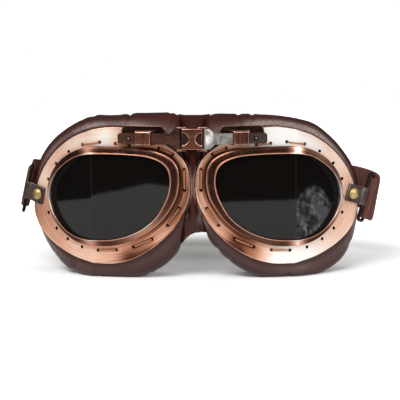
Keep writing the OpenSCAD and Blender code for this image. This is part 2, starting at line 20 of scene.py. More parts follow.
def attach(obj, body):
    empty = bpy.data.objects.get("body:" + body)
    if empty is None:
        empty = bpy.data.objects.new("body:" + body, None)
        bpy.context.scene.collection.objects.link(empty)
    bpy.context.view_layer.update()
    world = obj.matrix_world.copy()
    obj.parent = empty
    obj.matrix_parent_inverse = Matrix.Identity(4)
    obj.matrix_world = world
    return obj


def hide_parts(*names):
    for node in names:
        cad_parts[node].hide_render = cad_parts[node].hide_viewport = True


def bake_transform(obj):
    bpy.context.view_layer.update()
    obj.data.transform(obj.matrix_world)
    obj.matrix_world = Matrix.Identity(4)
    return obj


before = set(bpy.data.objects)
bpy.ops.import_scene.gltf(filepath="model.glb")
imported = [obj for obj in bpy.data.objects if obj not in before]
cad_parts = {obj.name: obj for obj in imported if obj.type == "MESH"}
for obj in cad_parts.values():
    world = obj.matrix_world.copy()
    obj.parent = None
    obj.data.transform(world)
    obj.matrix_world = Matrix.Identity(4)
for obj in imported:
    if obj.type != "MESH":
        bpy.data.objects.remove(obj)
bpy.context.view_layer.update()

log = logging.getLogger("goggles")
# The goggles' own origin in the shared frame.
SHIFT = np.array([-3.3, -43.8, 0.0])
# The middle of an eye, the height of the hinge and its arms, and how far from the nose line the
# leather, foam and cushion stay.
EYE_X, EYE_Z = 50.0, 48.0
ARM_Z = 84.4
NOSE_WALL = 7.0
Colour = tuple[float, float, float, float]


class Side(Enum):
    """The wearer's side that a cup, arm or strap belongs to."""

    LEFT = "left"
    RIGHT = "right"

    @property
    def sign(self) -> float:
        """1 on the wearer's left, -1 on the right."""
        return 1.0 if self is Side.LEFT else -1.0

    def of(self, name: str) -> str:
        """The name of this side's copy of a part."""
        return f"{self.value}_{name}"

    def pick(self, left: object, right: object) -> object:
        """The first for the wearer's left, the second for the right."""
        return left if self is Side.LEFT else right


def srgb(red: float, green: float, blue: float) -> Colour:
    """A display colour as the linear one that a shader takes.

    Args:
        red: 0 to 255.
        green: 0 to 255.
        blue: 0 to 255.

    Returns:
        The linear colour, opaque.
    """
    channels = np.array([red, green, blue]) / 255.0
    low = channels / 12.92
    high = ((channels + 0.055) / 1.055) ** 2.4
    linear = np.where(channels <= 0.04045, low, high)
    return (float(linear[0]), float(linear[1]), float(linear[2]), 1.0)


# Shader maths.


class Sock:
    """One shader socket, on which Python arithmetic adds Math nodes."""

    def __init__(self, sheet: "NodeSheet", socket: bpy.types.NodeSocket) -> None:
        """Keeps the sheet that the socket is on."""
        self.sheet = sheet
        self.socket = socket

    def _calc(self, operation: str, other: "Value" = None, turned: bool = False) -> "Sock":
        """Adds one Math node.

        Args:
            operation: the Math node's operation.
            other: the second value, or None for an operation on one value.
            turned: True where the second value comes first.

        Returns:
            The result's socket.
        """
        pair = (other, self) if turned else (self, other)
        inputs = {i: v for i, v in enumerate(pair) if v is not None}
        return self.sheet.add("ShaderNodeMath", {"operation": operation}, inputs)

    def __add__(self, other: "Value") -> "Sock":
        """self + other."""
        return self._calc("ADD", other)

    __radd__ = __add__

    def __sub__(self, other: "Value") -> "Sock":
        """self - other."""
        return self._calc("SUBTRACT", other)

    def __rsub__(self, other: "Value") -> "Sock":
        """other - self."""
        return self._calc("SUBTRACT", other, True)

    def __mul__(self, other: "Value") -> "Sock":
        """self * other."""
        return self._calc("MULTIPLY", other)

    __rmul__ = __mul__

    def __pow__(self, other: "Value") -> "Sock":
        """self to the power of other."""
        return self._calc("POWER", other)

    def sine(self) -> "Sock":
        """The sine of self in radians."""
        return self._calc("SINE")

    def clamped(self) -> "Sock":
        """self held between 0 and 1."""
        return self.sheet.add("ShaderNodeClamp", {}, {"Value": self})


Value = Union[Sock, float, Sequence[float], None]


class NodeSheet:
    """The node tree of one material or of the world."""

    def __init__(self, tree: bpy.types.NodeTree) -> None:
        """Starts from an empty tree."""
        self.tree = tree
        tree.nodes.clear()

    def add(self, kind: str, settings: Optional[Mapping[str, object]] = None,
            inputs: Optional[Mapping[Union[int, str], Value]] = None,
            output: Union[int, str] = 0) -> Sock:
        """Adds any node.

        Args:
            kind: the node's type.
            settings: its own settings, set first; "stops" are a ramp's (place, colour).
            inputs: values or links of its sockets.
            output: which of its sockets comes back.

        Returns:
            That socket, wrapped.
        """
        node = self.tree.nodes.new(kind)
        for name, value in (settings or {}).items():
            if name == "stops":
                ramp = node.color_ramp.elements
                while len(ramp) < len(value):
                    ramp.new(0.5)
                for stop, (place, colour) in zip(ramp, value):
                    stop.position = place
                    stop.color = colour if not isinstance(colour, float) else (colour,) * 3 + (1,)
            else:
                setattr(node, name, value)
        for name, value in (inputs or {}).items():
            if isinstance(value, Sock):
                self.tree.links.new(value.socket, node.inputs[name])
            else:
                node.inputs[name].default_value = value
        return Sock(self, node.outputs[output]) if len(node.outputs) else None

    def place(self) -> Sock:
        """The point on the object, in metres in the shared frame."""
        return self.add("ShaderNodeTexCoord", output="Object")

    def pattern(self) -> Sock:
        """The piece's own UV map, in millimetres along and across it."""
        return self.add("ShaderNodeUVMap", {"uv_map": "Pattern"})

    def mark(self, name: str) -> Sock:
        """The piece's own number painted at each point."""
        return self.add("ShaderNodeAttribute", {"attribute_name": name}, output="Fac")

    def stretched(self, vector: Sock, by: Sequence[float]) -> Sock:
        """A vector times another, part by part."""
        return self.add("ShaderNodeVectorMath", {"operation": "MULTIPLY"}, {0: vector, 1: by})

    def part(self, vector: Sock, axis: str) -> Sock:
        """The X, Y or Z of a vector."""
        return self.add("ShaderNodeSeparateXYZ", {}, {0: vector}, axis)

    def noise(self, vector: Sock, scale: float, detail: float = 3.0, rough: float = 0.55,
              bend: float = 0.0) -> Sock:
        """Soft noise between 0 and 1."""
        return self.add("ShaderNodeTexNoise", {}, {"Vector": vector, "Scale": scale,
                        "Detail": detail, "Roughness": rough, "Distortion": bend})

    def cells(self, vector: Sock, scale: float) -> Sock:
        """Distance to the nearest of scattered points, 0 at each."""
        return self.add("ShaderNodeTexVoronoi", {"feature": "F1"},
                        {"Vector": vector, "Scale": scale}, "Distance")

    def ramp(self, value: Sock, *stops: tuple[float, object]) -> Sock:
        """A value turned into the colours of its stops."""
        return self.add("ShaderNodeValToRGB", {"stops": stops}, {0: value})

    def between(self, value: Sock, low: float, high: float) -> Sock:
        """Smoothly 0 below low and 1 above high."""
        return self.add("ShaderNodeMapRange", {"interpolation_type": "SMOOTHSTEP"},
                        {"Value": value, "From Min": low, "From Max": high})

    def mix(self, share: Value, first: object, second: object) -> Sock:
        """A colour between two others."""
        return self.add("ShaderNodeMix", {"data_type": "RGBA"},
                        {0: share, 6: first, 7: second}, 2)

    def bump(self, height: Sock, strength: float, depth: float) -> Sock:
        """A normal that shows height, in metres of depth."""
        return self.add("ShaderNodeBump", {}, {"Strength": strength, "Distance": depth,
                        "Height": height})


def sheet_of(owner: Union[bpy.types.Material, bpy.types.World]) -> NodeSheet:
    """The emptied node tree of a material or a world."""
    owner.use_nodes = True
    return NodeSheet(owner.node_tree)


class Finish:
    """A surface finish; each kind paints one Principled shader."""

    name: str

    def paint(self, sheet: NodeSheet) -> dict[str, object]:
        """The values and links of the Principled shader.

        Args:
            sheet: the material's nodes.

        Returns:
            The value or link of each input.
        """
        raise NotImplementedError

    def material(self) -> bpy.types.Material:
        """The finish as a material, made once.

        Returns:
            The material.
        """
        name = f"{self.name}_finish"
        found = bpy.data.materials.get(name)
        if found is not None:
            return found
        made = bpy.data.materials.new(name)
        sheet = sheet_of(made)
        shader = sheet.add("ShaderNodeBsdfPrincipled", {}, self.paint(sheet))
        sheet.add("ShaderNodeOutputMaterial", {}, {"Surface": shader})
        return made


@dataclass(frozen=True)
class BrushedCopper(Finish):
    """Sheet copper brushed round its outline; its painted tone runs from dark copper in painted
    shade to a near-white painted highlight.

    Where it is brightest the brushed skin scatters light, so it is less of a mirror there.
    """

    name: str = "brushed_copper"
    # Painted light: the darkest colour stands for painted shade, the palest ones for painted
    # highlight.
    aged_and_shaded: Colour = srgb(96, 56, 42)
    copper: Colour = srgb(196, 132, 102)
    peach: Colour = srgb(238, 184, 156)
    beige: Colour = srgb(246, 214, 193)
    bright: Colour = srgb(255, 251, 246)

    def paint(self, sheet: NodeSheet) -> dict[str, object]:
        """Streaks: noise stretched 40 to 200 times along the outline, at two widths.

        Args:
            sheet: the material's nodes.

        Returns:
            The value or link of each input.
        """
        uv, place = sheet.pattern(), sheet.place()
        fine = sheet.noise(sheet.stretched(uv, (0.02, 4.0, 1)), 1.0, 3.0, 0.7)
        lines = sheet.noise(sheet.stretched(uv, (0.03, 1.15, 1)), 1.0, 4.0, 0.65, 0.2)
        cloud = sheet.noise(place, 34.0, 3.0, 0.6, 0.5)
        streaks = (lines - 0.5) * 0.85 + (cloud - 0.5) * 0.3 + (fine - 0.5) * 0.35
        calm = 1 - sheet.between(sheet.mark("tone"), 0.55, 1.0) * 0.65
        tone = (sheet.mark("tone") + streaks * calm).clamped()
        # The painted tone picks painted shade at its low end and painted highlight at its high end.
        colour = sheet.ramp(tone, (0.0, self.aged_and_shaded), (0.24, self.copper), (0.48, self.peach),
                            (0.72, self.beige), (0.98, self.bright))
        return {"Base Color": colour, "Metallic": 1.0 - sheet.between(tone, 0.2, 0.7) * 0.78,
                "Roughness": 0.26 + fine * 0.14 + lines * 0.06,
                "Normal": sheet.bump(fine * 0.7 + lines * 0.3, 0.55, 0.00006)}


@dataclass(frozen=True)
class AgedMetal(Finish):
    """Cast or cut metal with patina in patches, streaks from rubbing and fine specks; a painted
    tone can add wear and painted highlight.

    Attributes:
        name: the finish's name.
        base: the bare metal's colour.
        patina: the colour of its patches.
        glint: the colour of its specks.
        metallic: 1 for metal, 0 for rubber, lacquer and holes.
        roughness: in the middle of its range.
        specks: how strong the specks are.
        coarse: how many patches there are in a metre.
        streak: stretches the patches, least along the way they run.
        bump_depth: of the pitting, in metres.
        rubbed_and_highlit: the colour that the painted tone brings out, for wear and painted
            highlight.
        crest_highlight: the colour of a painted highlight, above a tone of 1.
        tail: (axis, metres, colour) of a darker end.
        shine: strength of the gloss where it isn't metal.
    """

    name: str
    base: Colour
    patina: Colour
    glint: Colour
    metallic: float = 1.0
    roughness: float = 0.4
    specks: float = 0.2
    coarse: float = 120.0
    streak: Sequence[float] = (1.0, 1.0, 1.0)
    bump_depth: float = 0.00008
    rubbed_and_highlit: Optional[Colour] = None
    crest_highlight: Colour = srgb(255, 246, 240)
    tail: Optional[tuple[str, float, Colour]] = None
    shine: float = 0.5

    def paint(self, sheet: NodeSheet) -> dict[str, object]:
        """Patina where coarse noise is high, glints where fine noise is highest.

        The painted tone, of wear and painted highlight, brings out that colour and above 1 a
        near-white painted highlight, and a tail's colour begins at a place along its own axis.

        Args:
            sheet: the material's nodes.

        Returns:
            The value or link of each input.
        """
        place = sheet.place()
        coarse = sheet.noise(sheet.stretched(place, self.streak), self.coarse, 4.0, 0.65, 0.6)
        fine = sheet.noise(sheet.stretched(place, self.streak), self.coarse * 9, 3.0, 0.7)
        colour = sheet.mix(sheet.between(coarse, 0.4, 0.64), self.base, self.patina)
        colour = sheet.mix(sheet.between(fine, 0.6, 0.72) * self.specks, colour, self.glint)
        # Wear and painted highlight, from the piece's painted tone.
        if self.rubbed_and_highlit is not None:
            tone = sheet.mark("tone") * (0.6 + coarse * 0.8) + (fine - 0.5) * 0.2
            colour = sheet.mix(tone.clamped(), colour, self.rubbed_and_highlit)
            colour = sheet.mix(sheet.between(tone, 1.0, 1.5), colour, self.crest_highlight)
        if self.tail is not None:
            axis, start, dark = self.tail
            past = sheet.between(sheet.part(place, axis), start, start + 0.0003)
            colour = sheet.mix(past * (0.75 + coarse * 0.45).clamped(), colour, dark)
        height = coarse * 0.6 + fine * 0.4
        return {"Base Color": colour, "Metallic": self.metallic,
                "Roughness": self.roughness - 0.1 + coarse * 0.14 + fine * 0.1,
                "Specular IOR Level": self.shine,
                "Normal": sheet.bump(height, 0.5, self.bump_depth)}


@dataclass(frozen=True)
class TintedGlass(Finish):
    """Nearly black glass with faint ripples; two panes meet at a seam, with a painted highlight
    along it.
    """

    name: str = "tinted_glass"
    tint: Colour = (0.0042, 0.0034, 0.0028, 1)
    seam: float = 0.0598

    def paint(self, sheet: NodeSheet) -> dict[str, object]:
        """Ripples 30 mm long, a little dustiness in the gloss and a painted highlight along the
        seam between the panes.

        Args:
            sheet: the material's nodes.

        Returns:
            The value or link of each input.
        """
        place = sheet.place()
        ripple = sheet.noise(place, 34.0, 2.0, 0.5, 0.4)
        dust_and_sheen = sheet.noise(place, 900.0, 3.0, 0.7)
        across = sheet.part(place, "X") - float(SHIFT[0]) / 1000
        off = (across * across - self.seam ** 2) * (1 / (2 * self.seam))
        # Painted highlight: a pale line along the seam.
        line = 1 - sheet.between(off * off, 0.0001 ** 2, 0.00022 ** 2)
        return {"Base Color": sheet.mix(line, self.tint, srgb(36, 32, 30)), "Metallic": 0.0,
                "IOR": 1.5, "Specular IOR Level": 0.38, "Roughness": 0.02 + dust_and_sheen * 0.03,
                "Normal": sheet.bump(ripple, 0.12, 0.0003)}


@dataclass(frozen=True)
class Leather(Finish):
    """Dark red leather, grained all over, with painted grey sheen and painted specks of highlight
    where its painted tone is high, and glossier there.
    """

    name: str = "mask_leather"
    deep: Colour = srgb(60, 23, 18)
    dark: Colour = srgb(40, 17, 13)
    # Painted sheen: a grey for the sheen and a near-white for its specks of highlight.
    wear_and_sheen: Colour = srgb(96, 67, 62)
    dust_and_sheen: Colour = srgb(192, 180, 176)
    gloss: float = 0.36

    def paint(self, sheet: NodeSheet) -> dict[str, object]:
        """Grain cells 0.8 mm across over faint creases; greyed by painted sheen from the painted
        tone, with painted specks of highlight.

        The leather is glossier near the table, whose white it takes on.

        Args:
            sheet: the material's nodes.

        Returns:
            The value or link of each input.
        """
        place, rubbed_and_highlit = sheet.place(), sheet.mark("tone")
        grain = sheet.cells(place, 1250.0)
        crease = sheet.noise(sheet.stretched(place, (1.0, 1.0, 0.8)), 150.0, 5.0, 0.62, 1.3)
        cloud = sheet.noise(place, 42.0, 4.0, 0.6)
        flake = sheet.noise(place, 1100.0, 4.0, 0.75)
        colour = sheet.mix(sheet.between(cloud, 0.35, 0.7) * 0.55, self.deep, self.dark)
        # Painted sheen where the painted tone is high, with painted specks of highlight on it.
        wear_and_sheen = (rubbed_and_highlit * (0.4 + cloud * 0.7)).clamped()
        colour = sheet.mix(wear_and_sheen, colour, self.wear_and_sheen)
        specked_sheen = sheet.between(flake, 0.3, 0.72) * (rubbed_and_highlit * rubbed_and_highlit) * (0.15 + cloud * 0.8)
        colour = sheet.mix(specked_sheen.clamped(), colour, self.dust_and_sheen)
        height = crease * 0.45 + (1.0 - grain) * 0.4 + flake * 0.15
        low = 1 - sheet.between(sheet.part(place, "Z"), 0.0, 0.075)
        return {"Base Color": colour, "Roughness": self.gloss + flake * 0.18 - wear_and_sheen * 0.06,
                "Specular IOR Level": 0.09, "Coat Roughness": 0.34,
                "Coat Weight": (low * 0.75 + wear_and_sheen * 0.3).clamped(),
                "Normal": sheet.bump(height, 0.5, 0.00022)}


@dataclass(frozen=True)
class Cloth(Finish):
    """Woven cloth: two threads crossing, by the piece's own pattern."""

    name: str
    light: Colour
    dark: Colour
    pitch: float = 1.0
    ribs: float = 0.0
    depth: float = 0.0002
    roughness: float = 0.85

    def paint(self, sheet: NodeSheet) -> dict[str, object]:
        """Weave: the product of two sines of the pattern, turned by 45 degrees.

        Args:
            sheet: the material's nodes.

        Returns:
            The value or link of each input.
        """
        uv, place = sheet.pattern(), sheet.place()
        turn = 2 * math.pi / self.pitch
        along, across = sheet.part(uv, "X") * turn, sheet.part(uv, "Y") * turn
        weave = ((along + across).sine() * (along - across).sine()) * 0.5 + 0.5
        rib = (along * (self.ribs or 0.5)).sine() * 0.5 + 0.5
        fuzz = sheet.noise(place, 1400.0, 3.0, 0.7)
        wear = sheet.noise(place, 70.0, 4.0, 0.65)
        tone = weave * 0.35 + fuzz * 0.25 + wear * 0.3 + rib * (0.65 if self.ribs else 0.0) - 0.15
        colour = sheet.mix(tone.clamped(), self.dark, self.light)
        height = weave * 0.5 + fuzz * 0.2 + rib * (1.2 if self.ribs else 0.0)
        return {"Base Color": colour, "Roughness": self.roughness,
                "Specular IOR Level": 0.15, "Normal": sheet.bump(height, 0.7, self.depth)}


@dataclass(frozen=True)
class TwistedThread(Finish):
    """Waxed thread: slanting strands along the piece's own pattern."""

    name: str = "waxed_thread"
    light: Colour = srgb(218, 154, 112)
    dark: Colour = srgb(104, 62, 44)

    def paint(self, sheet: NodeSheet) -> dict[str, object]:
        """Strands: the sine of the distance along plus the way round.

        Args:
            sheet: the material's nodes.

        Returns:
            The value or link of each input.
        """
        uv = sheet.pattern()
        lay = sheet.part(uv, "X") * 5.2 + sheet.part(uv, "Y") * 6.0
        strand = lay.sine() * 0.5 + 0.5
        fuzz = sheet.noise(sheet.place(), 1500.0, 3.0, 0.7)
        colour = sheet.mix((strand * 0.7 + fuzz * 0.4).clamped(), self.dark, self.light)
        return {"Base Color": colour, "Roughness": 0.55, "Specular IOR Level": 0.2,
                "Normal": sheet.bump(strand + fuzz * 0.3, 0.8, 0.0001)}


COPPER_EDGE = AgedMetal("worn_copper_edge", srgb(228, 188, 168), srgb(184, 126, 104),
                        srgb(255, 232, 215), roughness=0.32, coarse=260.0)
# Its brighter colour shows wear and painted highlight on the bezel.
DARK_COPPER = AgedMetal("aged_copper", srgb(68, 37, 29), srgb(40, 23, 19), srgb(160, 98, 76),
                        roughness=0.36, specks=0.25, coarse=90.0, bump_depth=0.0001,
                        rubbed_and_highlit=srgb(232, 170, 142))
LINK_METAL = AgedMetal("link_metal", srgb(128, 80, 65), srgb(86, 56, 46), srgb(214, 158, 132),
                       roughness=0.42, specks=0.3, coarse=140.0, streak=(0.3, 1.0, 1.8),
                       tail=("Y", (float(SHIFT[1]) - 4.9) / 1000, srgb(58, 42, 38)))
PIN_METAL = AgedMetal("pin_metal", srgb(128, 84, 68), srgb(84, 56, 46), srgb(216, 166, 140))
BOX_METAL = AgedMetal("box_copper", srgb(134, 82, 67), srgb(84, 52, 43), srgb(206, 150, 128),
                      roughness=0.38, specks=0.3, coarse=130.0, streak=(2.2, 1.0, 0.2))
ARM_END = srgb(92, 76, 68)
DARK_ARM = AgedMetal("dark_arm", srgb(106, 74, 63), srgb(68, 47, 40), srgb(182, 136, 116),
                     roughness=0.42, specks=0.3, coarse=130.0, streak=(0.5, 1.0, 1.5))
PALE_ARM = AgedMetal("silvered_arm", srgb(208, 204, 200), srgb(150, 142, 137),
                     srgb(250, 246, 242), roughness=0.38, specks=0.6, coarse=230.0,
                     tail=("X", 0.0262, ARM_END))
BLACKENED = AgedMetal("blackened_bronze", srgb(66, 44, 36), srgb(30, 22, 19),
                      srgb(150, 104, 82), roughness=0.42, coarse=120.0)
TAB_METAL = AgedMetal("tab_bronze", srgb(95, 86, 82), srgb(68, 60, 57), srgb(156, 134, 124),
                      roughness=0.52, specks=0.3, coarse=150.0)
TAB_EDGE = AgedMetal("worn_tab_edge", srgb(168, 138, 122), srgb(120, 94, 82),
                     srgb(214, 184, 166), roughness=0.45, coarse=220.0)
STEEL = AgedMetal("grey_steel", srgb(150, 140, 132), srgb(92, 80, 74), srgb(230, 222, 214),
                  roughness=0.35, coarse=300.0)
BRASS = AgedMetal("old_brass", srgb(208, 184, 126), srgb(164, 134, 82), srgb(240, 222, 172),
                  roughness=0.5, specks=0.25, coarse=200.0)
BRONZE = AgedMetal("bronze", srgb(88, 66, 54), srgb(48, 36, 30), srgb(170, 130, 104))
WIRE = AgedMetal("black_wire", srgb(17, 15, 15), srgb(9, 8, 8), srgb(70, 64, 60),
                 metallic=0.0, roughness=0.4, specks=0.15, coarse=300.0, shine=0.12)
RUBBER = AgedMetal("black_rubber", srgb(15, 13, 12), srgb(10, 9, 9), srgb(30, 27, 26),
                   metallic=0.0, roughness=0.45, shine=0.08)
# Black that stands for the shade inside the stitch holes.
HOLE_SHADOW = AgedMetal("hole_shadow_black", srgb(10, 8, 8), srgb(6, 5, 5), srgb(30, 22, 20),
                 metallic=0.0, roughness=0.9, shine=0.0)
COPPER, GLASS, LEATHER, THREAD = BrushedCopper(), TintedGlass(), Leather(), TwistedThread()
DARK_THREAD = TwistedThread("strap_thread", srgb(92, 50, 42), srgb(52, 28, 25))
WEBBING = Cloth("strap_webbing", srgb(128, 82, 74), srgb(56, 33, 30), 1.0, 0.7, 0.0003)
PADDING = Cloth("face_padding", srgb(58, 50, 48), srgb(28, 24, 24), 0.7, 0.0, 0.00015, 0.95)
LINING = Cloth("mask_lining_cloth", srgb(34, 30, 30), srgb(16, 14, 14), 0.6, 0.0, 0.00012, 0.9)


# Shapes.


def smooth_step(value: np.ndarray, low: float, high: float) -> np.ndarray:
    """Smoothly 0 at low and 1 at high: 3t² - 2t³ of the share t between them."""
    t = np.clip((value - low) / (high - low), 0.0, 1.0)
    return t * t * (3 - 2 * t)


def plateau(value: np.ndarray, rise: Sequence[float], fall: Sequence[float]) -> np.ndarray:
    """Smoothly up from 0 to 1 over the first range and down again over the second."""
    return smooth_step(value, *rise) * (1 - smooth_step(value, *fall))


def bell(value: np.ndarray, width: float) -> np.ndarray:
    """1 at 0, falling off both ways: exp(-(value / width)²)."""
    return np.exp(-(value / width) ** 2)


def boxed(value: np.ndarray, power: float) -> np.ndarray:
    """sgn(v) |v|^power, which makes a rounded box of a circle's sine and cosine."""
    return np.sign(value) * np.abs(value) ** power


def round_angles(count: int) -> np.ndarray:
    """Angles of evenly spaced points round a circle."""
    return np.linspace(0, 2 * np.pi, count, endpoint=False)


def turned(v: np.ndarray, degrees: float, first: int = 0, second: int = 1) -> np.ndarray:
    """Vectors turned from one axis towards another, from x towards y if none are named.

    Args:
        v: the vectors, along the last axis.
        degrees: how far they turn.
        first: the axis that they turn from.
        second: the axis that they turn towards.

    Returns:
        The turned vectors.
    """
    c, s = math.cos(math.radians(degrees)), math.sin(math.radians(degrees))
    out = np.array(v, float)
    out[..., first] = v[..., first] * c - v[..., second] * s
    out[..., second] = v[..., first] * s + v[..., second] * c
    return out


def in_frame(points: np.ndarray, side: Side = Side.LEFT) -> np.ndarray:
    """Points of the goggles' own axes in metres in the shared frame, mirrored on the right."""
    return (points * (side.sign, 1, 1) + SHIFT) / 1000


def shown(name: str, data: bpy.types.ID) -> bpy.types.Object:
    """A new object in the scene, at the origin.

    Args:
        name: the object's name.
        data: its mesh, light or camera.

    Returns:
        The object.
    """
    made = bpy.data.objects.new(name, data)
    bpy.context.scene.collection.objects.link(made)
    return made


def spline(a: np.ndarray, b: np.ndarray, c: np.ndarray, d: np.ndarray,
           u: np.ndarray) -> np.ndarray:
    """The uniform Catmull-Rom cubic from b to c, with slopes (c - a) / 2 and (d - b) / 2."""
    return 0.5 * (2 * b + (c - a) * u + (2 * a - 5 * b + 4 * c - d) * u ** 2
                  + (3 * b - a - 3 * c + d) * u ** 3)


def closed_curve(points: Sequence[Sequence[float]], per: int) -> np.ndarray:
    """A closed spline through the points, sampled per times between each two.

    Args:
        points: the points.
        per: samples between two of them.

    Returns:
        The samples.
    """
    p = np.asarray(points, float)
    t = np.arange(len(p) * per) / per
    k = t.astype(int)
    u = (t - k)[:, None]
    n = len(p)
    return spline(p[(k - 1) % n], p[k], p[(k + 1) % n], p[(k + 2) % n], u)


def open_curve(points: Sequence[np.ndarray], share: np.ndarray) -> np.ndarray:
    """An open spline through points or whole loops, at shares 0 to 1 of its length.

    The ends are carried on straight, so that the curve leaves them along its first step.

    Args:
        points: points, or loops with as many points each.
        share: where to sample it.

    Returns:
        A point or a loop for each share.
    """
    p = np.asarray(points, float)
    p = np.concatenate([2 * p[:1] - p[1:2], p, 2 * p[-1:] - p[-2:-1]])
    m = len(p) - 3
    k = np.minimum(m - 1, (share * m).astype(int))
    u = (share * m - k).reshape((-1,) + (1,) * (p.ndim - 1))
    return spline(p[k], p[k + 1], p[k + 2], p[k + 3], u)


def unit(vectors: np.ndarray) -> np.ndarray:
    """Vectors of length 1, along the last axis."""
    return vectors / np.maximum(np.linalg.norm(vectors, axis=-1, keepdims=True), 1e-12)


def travelled(points: np.ndarray) -> np.ndarray:
    """Distance along a row of points, 0 at the first."""
    steps = np.linalg.norm(np.diff(points, axis=0), axis=-1)
    return np.concatenate([[0.0], np.cumsum(steps)])


def mixed(first: np.ndarray, second: np.ndarray, share: float) -> np.ndarray:
    """first + (second - first) * share."""
    return first + (second - first) * share


def crumple(round_share: np.ndarray, across: np.ndarray, seed: int, waves: Sequence[int],
            slant: float = 3.0) -> np.ndarray:
    """Soft wrinkles: a sum of sines whose whole number of waves closes round a ring.

    Args:
        round_share: 0 to 1 round the ring.
        across: 0 to 1 across it.
        seed: picks the phases.
        waves: how many waves each sine has round the ring.
        slant: how far a wave leans, in radians across.

    Returns:
        Heights of about -1 to 1.
    """
    rng = np.random.default_rng(seed)
    total = np.zeros(np.broadcast(round_share, across).shape)
    for count in waves:
        phase, lean, swell = rng.uniform(0, 6.28, 3)
        wave = np.sin(2 * np.pi * count * round_share + phase + slant * np.sin(lean) * across)
        total += wave * (0.6 + 0.4 * np.sin(2 * np.pi * 3 * round_share + swell)) / len(waves)
    return total * 1.8


def dabbed(points: np.ndarray, base: float, dabs: Sequence[Sequence[float]]) -> np.ndarray:
    """A tone put on in soft round dabs, seen from the front.

    The tone is base plus, for each dab (x, z, reach, strength), the strength times a bell of
    the distance to its middle: exp(-(distance / reach)²).

    Args:
        points: any grid of points in the cup's own axes.
        base: the tone away from every dab.
        dabs: the dabs.

    Returns:
        The tone at each point.
    """
    tone = np.full(points.shape[:-1], base)
    for x, z, reach, strength in dabs:
        away = (points[..., 0] - x) ** 2 + (points[..., 2] - z) ** 2
        tone = tone + strength * np.exp(-away / reach ** 2)
    return tone


class Patchwork:
    """Gathers grids of points into one closed mesh with a pattern and a painted mark."""

    def __init__(self) -> None:
        """Starts empty."""
        self.points: list[np.ndarray] = []
        self.faces: list[list[int]] = []
        self.uvs: list[np.ndarray] = []
        self.slots: list[np.ndarray] = []
        self.marks: list[np.ndarray] = []
        self.count = 0

    def grid(self, points: np.ndarray, rows_close: bool = False, columns_close: bool = True,
             slot: Union[int, Sequence[int]] = 0, mark: Optional[np.ndarray] = None,
             caps: bool = False, uv: Optional[np.ndarray] = None) -> None:
        """Adds a grid of quads.

        Args:
            points: rows x columns x 3, in millimetres.
            rows_close: True where the last row joins the first.
            columns_close: True where the last column joins the first.
            slot: material slot, or one for each row of faces.
            mark: the painted number at each point.
            caps: True to close the first and last row with one face each.
            uv: rows x columns x 2 pattern, or None for distances along and across.
        """
        rows, columns = points.shape[:2]
        r = np.arange(rows if rows_close else rows - 1)
        c = np.arange(columns if columns_close else columns - 1)
        row, col = (x.ravel() for x in np.meshgrid(r, c, indexing="ij"))
        nr, nc = (row + 1) % rows, (col + 1) % columns
        quads = np.stack([row * columns + col, nr * columns + col, nr * columns + nc,
                          row * columns + nc], -1) + self.count
        if uv is None:
            along = points[rows // 2] if columns_close else points.mean(axis=0)
            across = points[:, 0] if rows_close else points.mean(axis=1)
            u, v = (travelled(np.concatenate([p, p[:1]])) for p in (along, across))
            uv = np.stack(np.meshgrid(u, v), -1)
        above, beside = (np.minimum(at + 1, size - 1) for at, size in zip((row, col), uv.shape))
        corner = [uv[row, col], uv[above, col], uv[above, beside], uv[row, beside]]
        self.points.append(points.reshape(-1, 3))
        self.faces += quads.tolist()
        self.uvs.append(np.stack(corner, 1).reshape(-1, 2))
        self.slots.append(np.broadcast_to(np.asarray(slot)[row] if np.ndim(slot) else slot,
                                          row.shape).astype(np.int32))
        self.marks.append(np.zeros(rows * columns) if mark is None
                          else np.broadcast_to(mark, (rows, columns)).ravel())
        if caps:
            first = np.arange(columns)[::-1] + self.count
            last = np.arange(columns) + self.count + (rows - 1) * columns
            self.faces += [first.tolist(), last.tolist()]
            self.uvs.append(np.zeros((2 * columns, 2)))
            self.slots.append(np.zeros(2, np.int32))
        self.count += rows * columns

    def build(self, name: str, finishes: Sequence[Finish], side: Side = Side.LEFT,
              sharp: float = 40.0) -> bpy.types.Object:
        """Makes the mesh, in metres in the shared frame.

        Args:
            name: the piece's name.
            finishes: one for each material slot.
            side: RIGHT mirrors the points in x.
            sharp: edges bent more than this many degrees stay sharp.

        Returns:
            The object, at the origin.
        """
        mesh = bpy.data.meshes.new(name)
        mesh.from_pydata(in_frame(np.concatenate(self.points), side).tolist(), [], self.faces)
        mesh.uv_layers.new(name="Pattern").data.foreach_set(
            "uv", np.concatenate(self.uvs).ravel().astype(np.float32))
        mesh.attributes.new("tone", "FLOAT", "POINT").data.foreach_set(
            "value", np.concatenate(self.marks).astype(np.float32))
        mesh.polygons.foreach_set("material_index", np.concatenate(self.slots))
        work = bmesh.new()
        work.from_mesh(mesh)
        bmesh.ops.recalc_face_normals(work, faces=work.faces)
        work.to_mesh(mesh)
        work.free()
        mesh.shade_smooth()
        mesh.set_sharp_from_angle(angle=math.radians(sharp))
        for finish in finishes:
            mesh.materials.append(finish.material())
        return shown(name, mesh)


def fasten(piece: bpy.types.Object, body: Optional[str], slot: str,
           *nodes: str) -> bpy.types.Object:
    """Puts a finished piece on a body in place of solids, and reports it.

    Args:
        piece: the object, with its final mesh.
        body: the body that it moves with, or None for a piece on no body.
        slot: the record's material slot; not used.
        nodes: the solids that it stands for.

    Returns:
        The same object.
    """
    if body is not None:
        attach(piece, body)
    if nodes:
        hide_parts(*nodes)
    log.info("%s on %s, %d faces", piece.name, body or "two bodies", len(piece.data.polygons))
    return piece


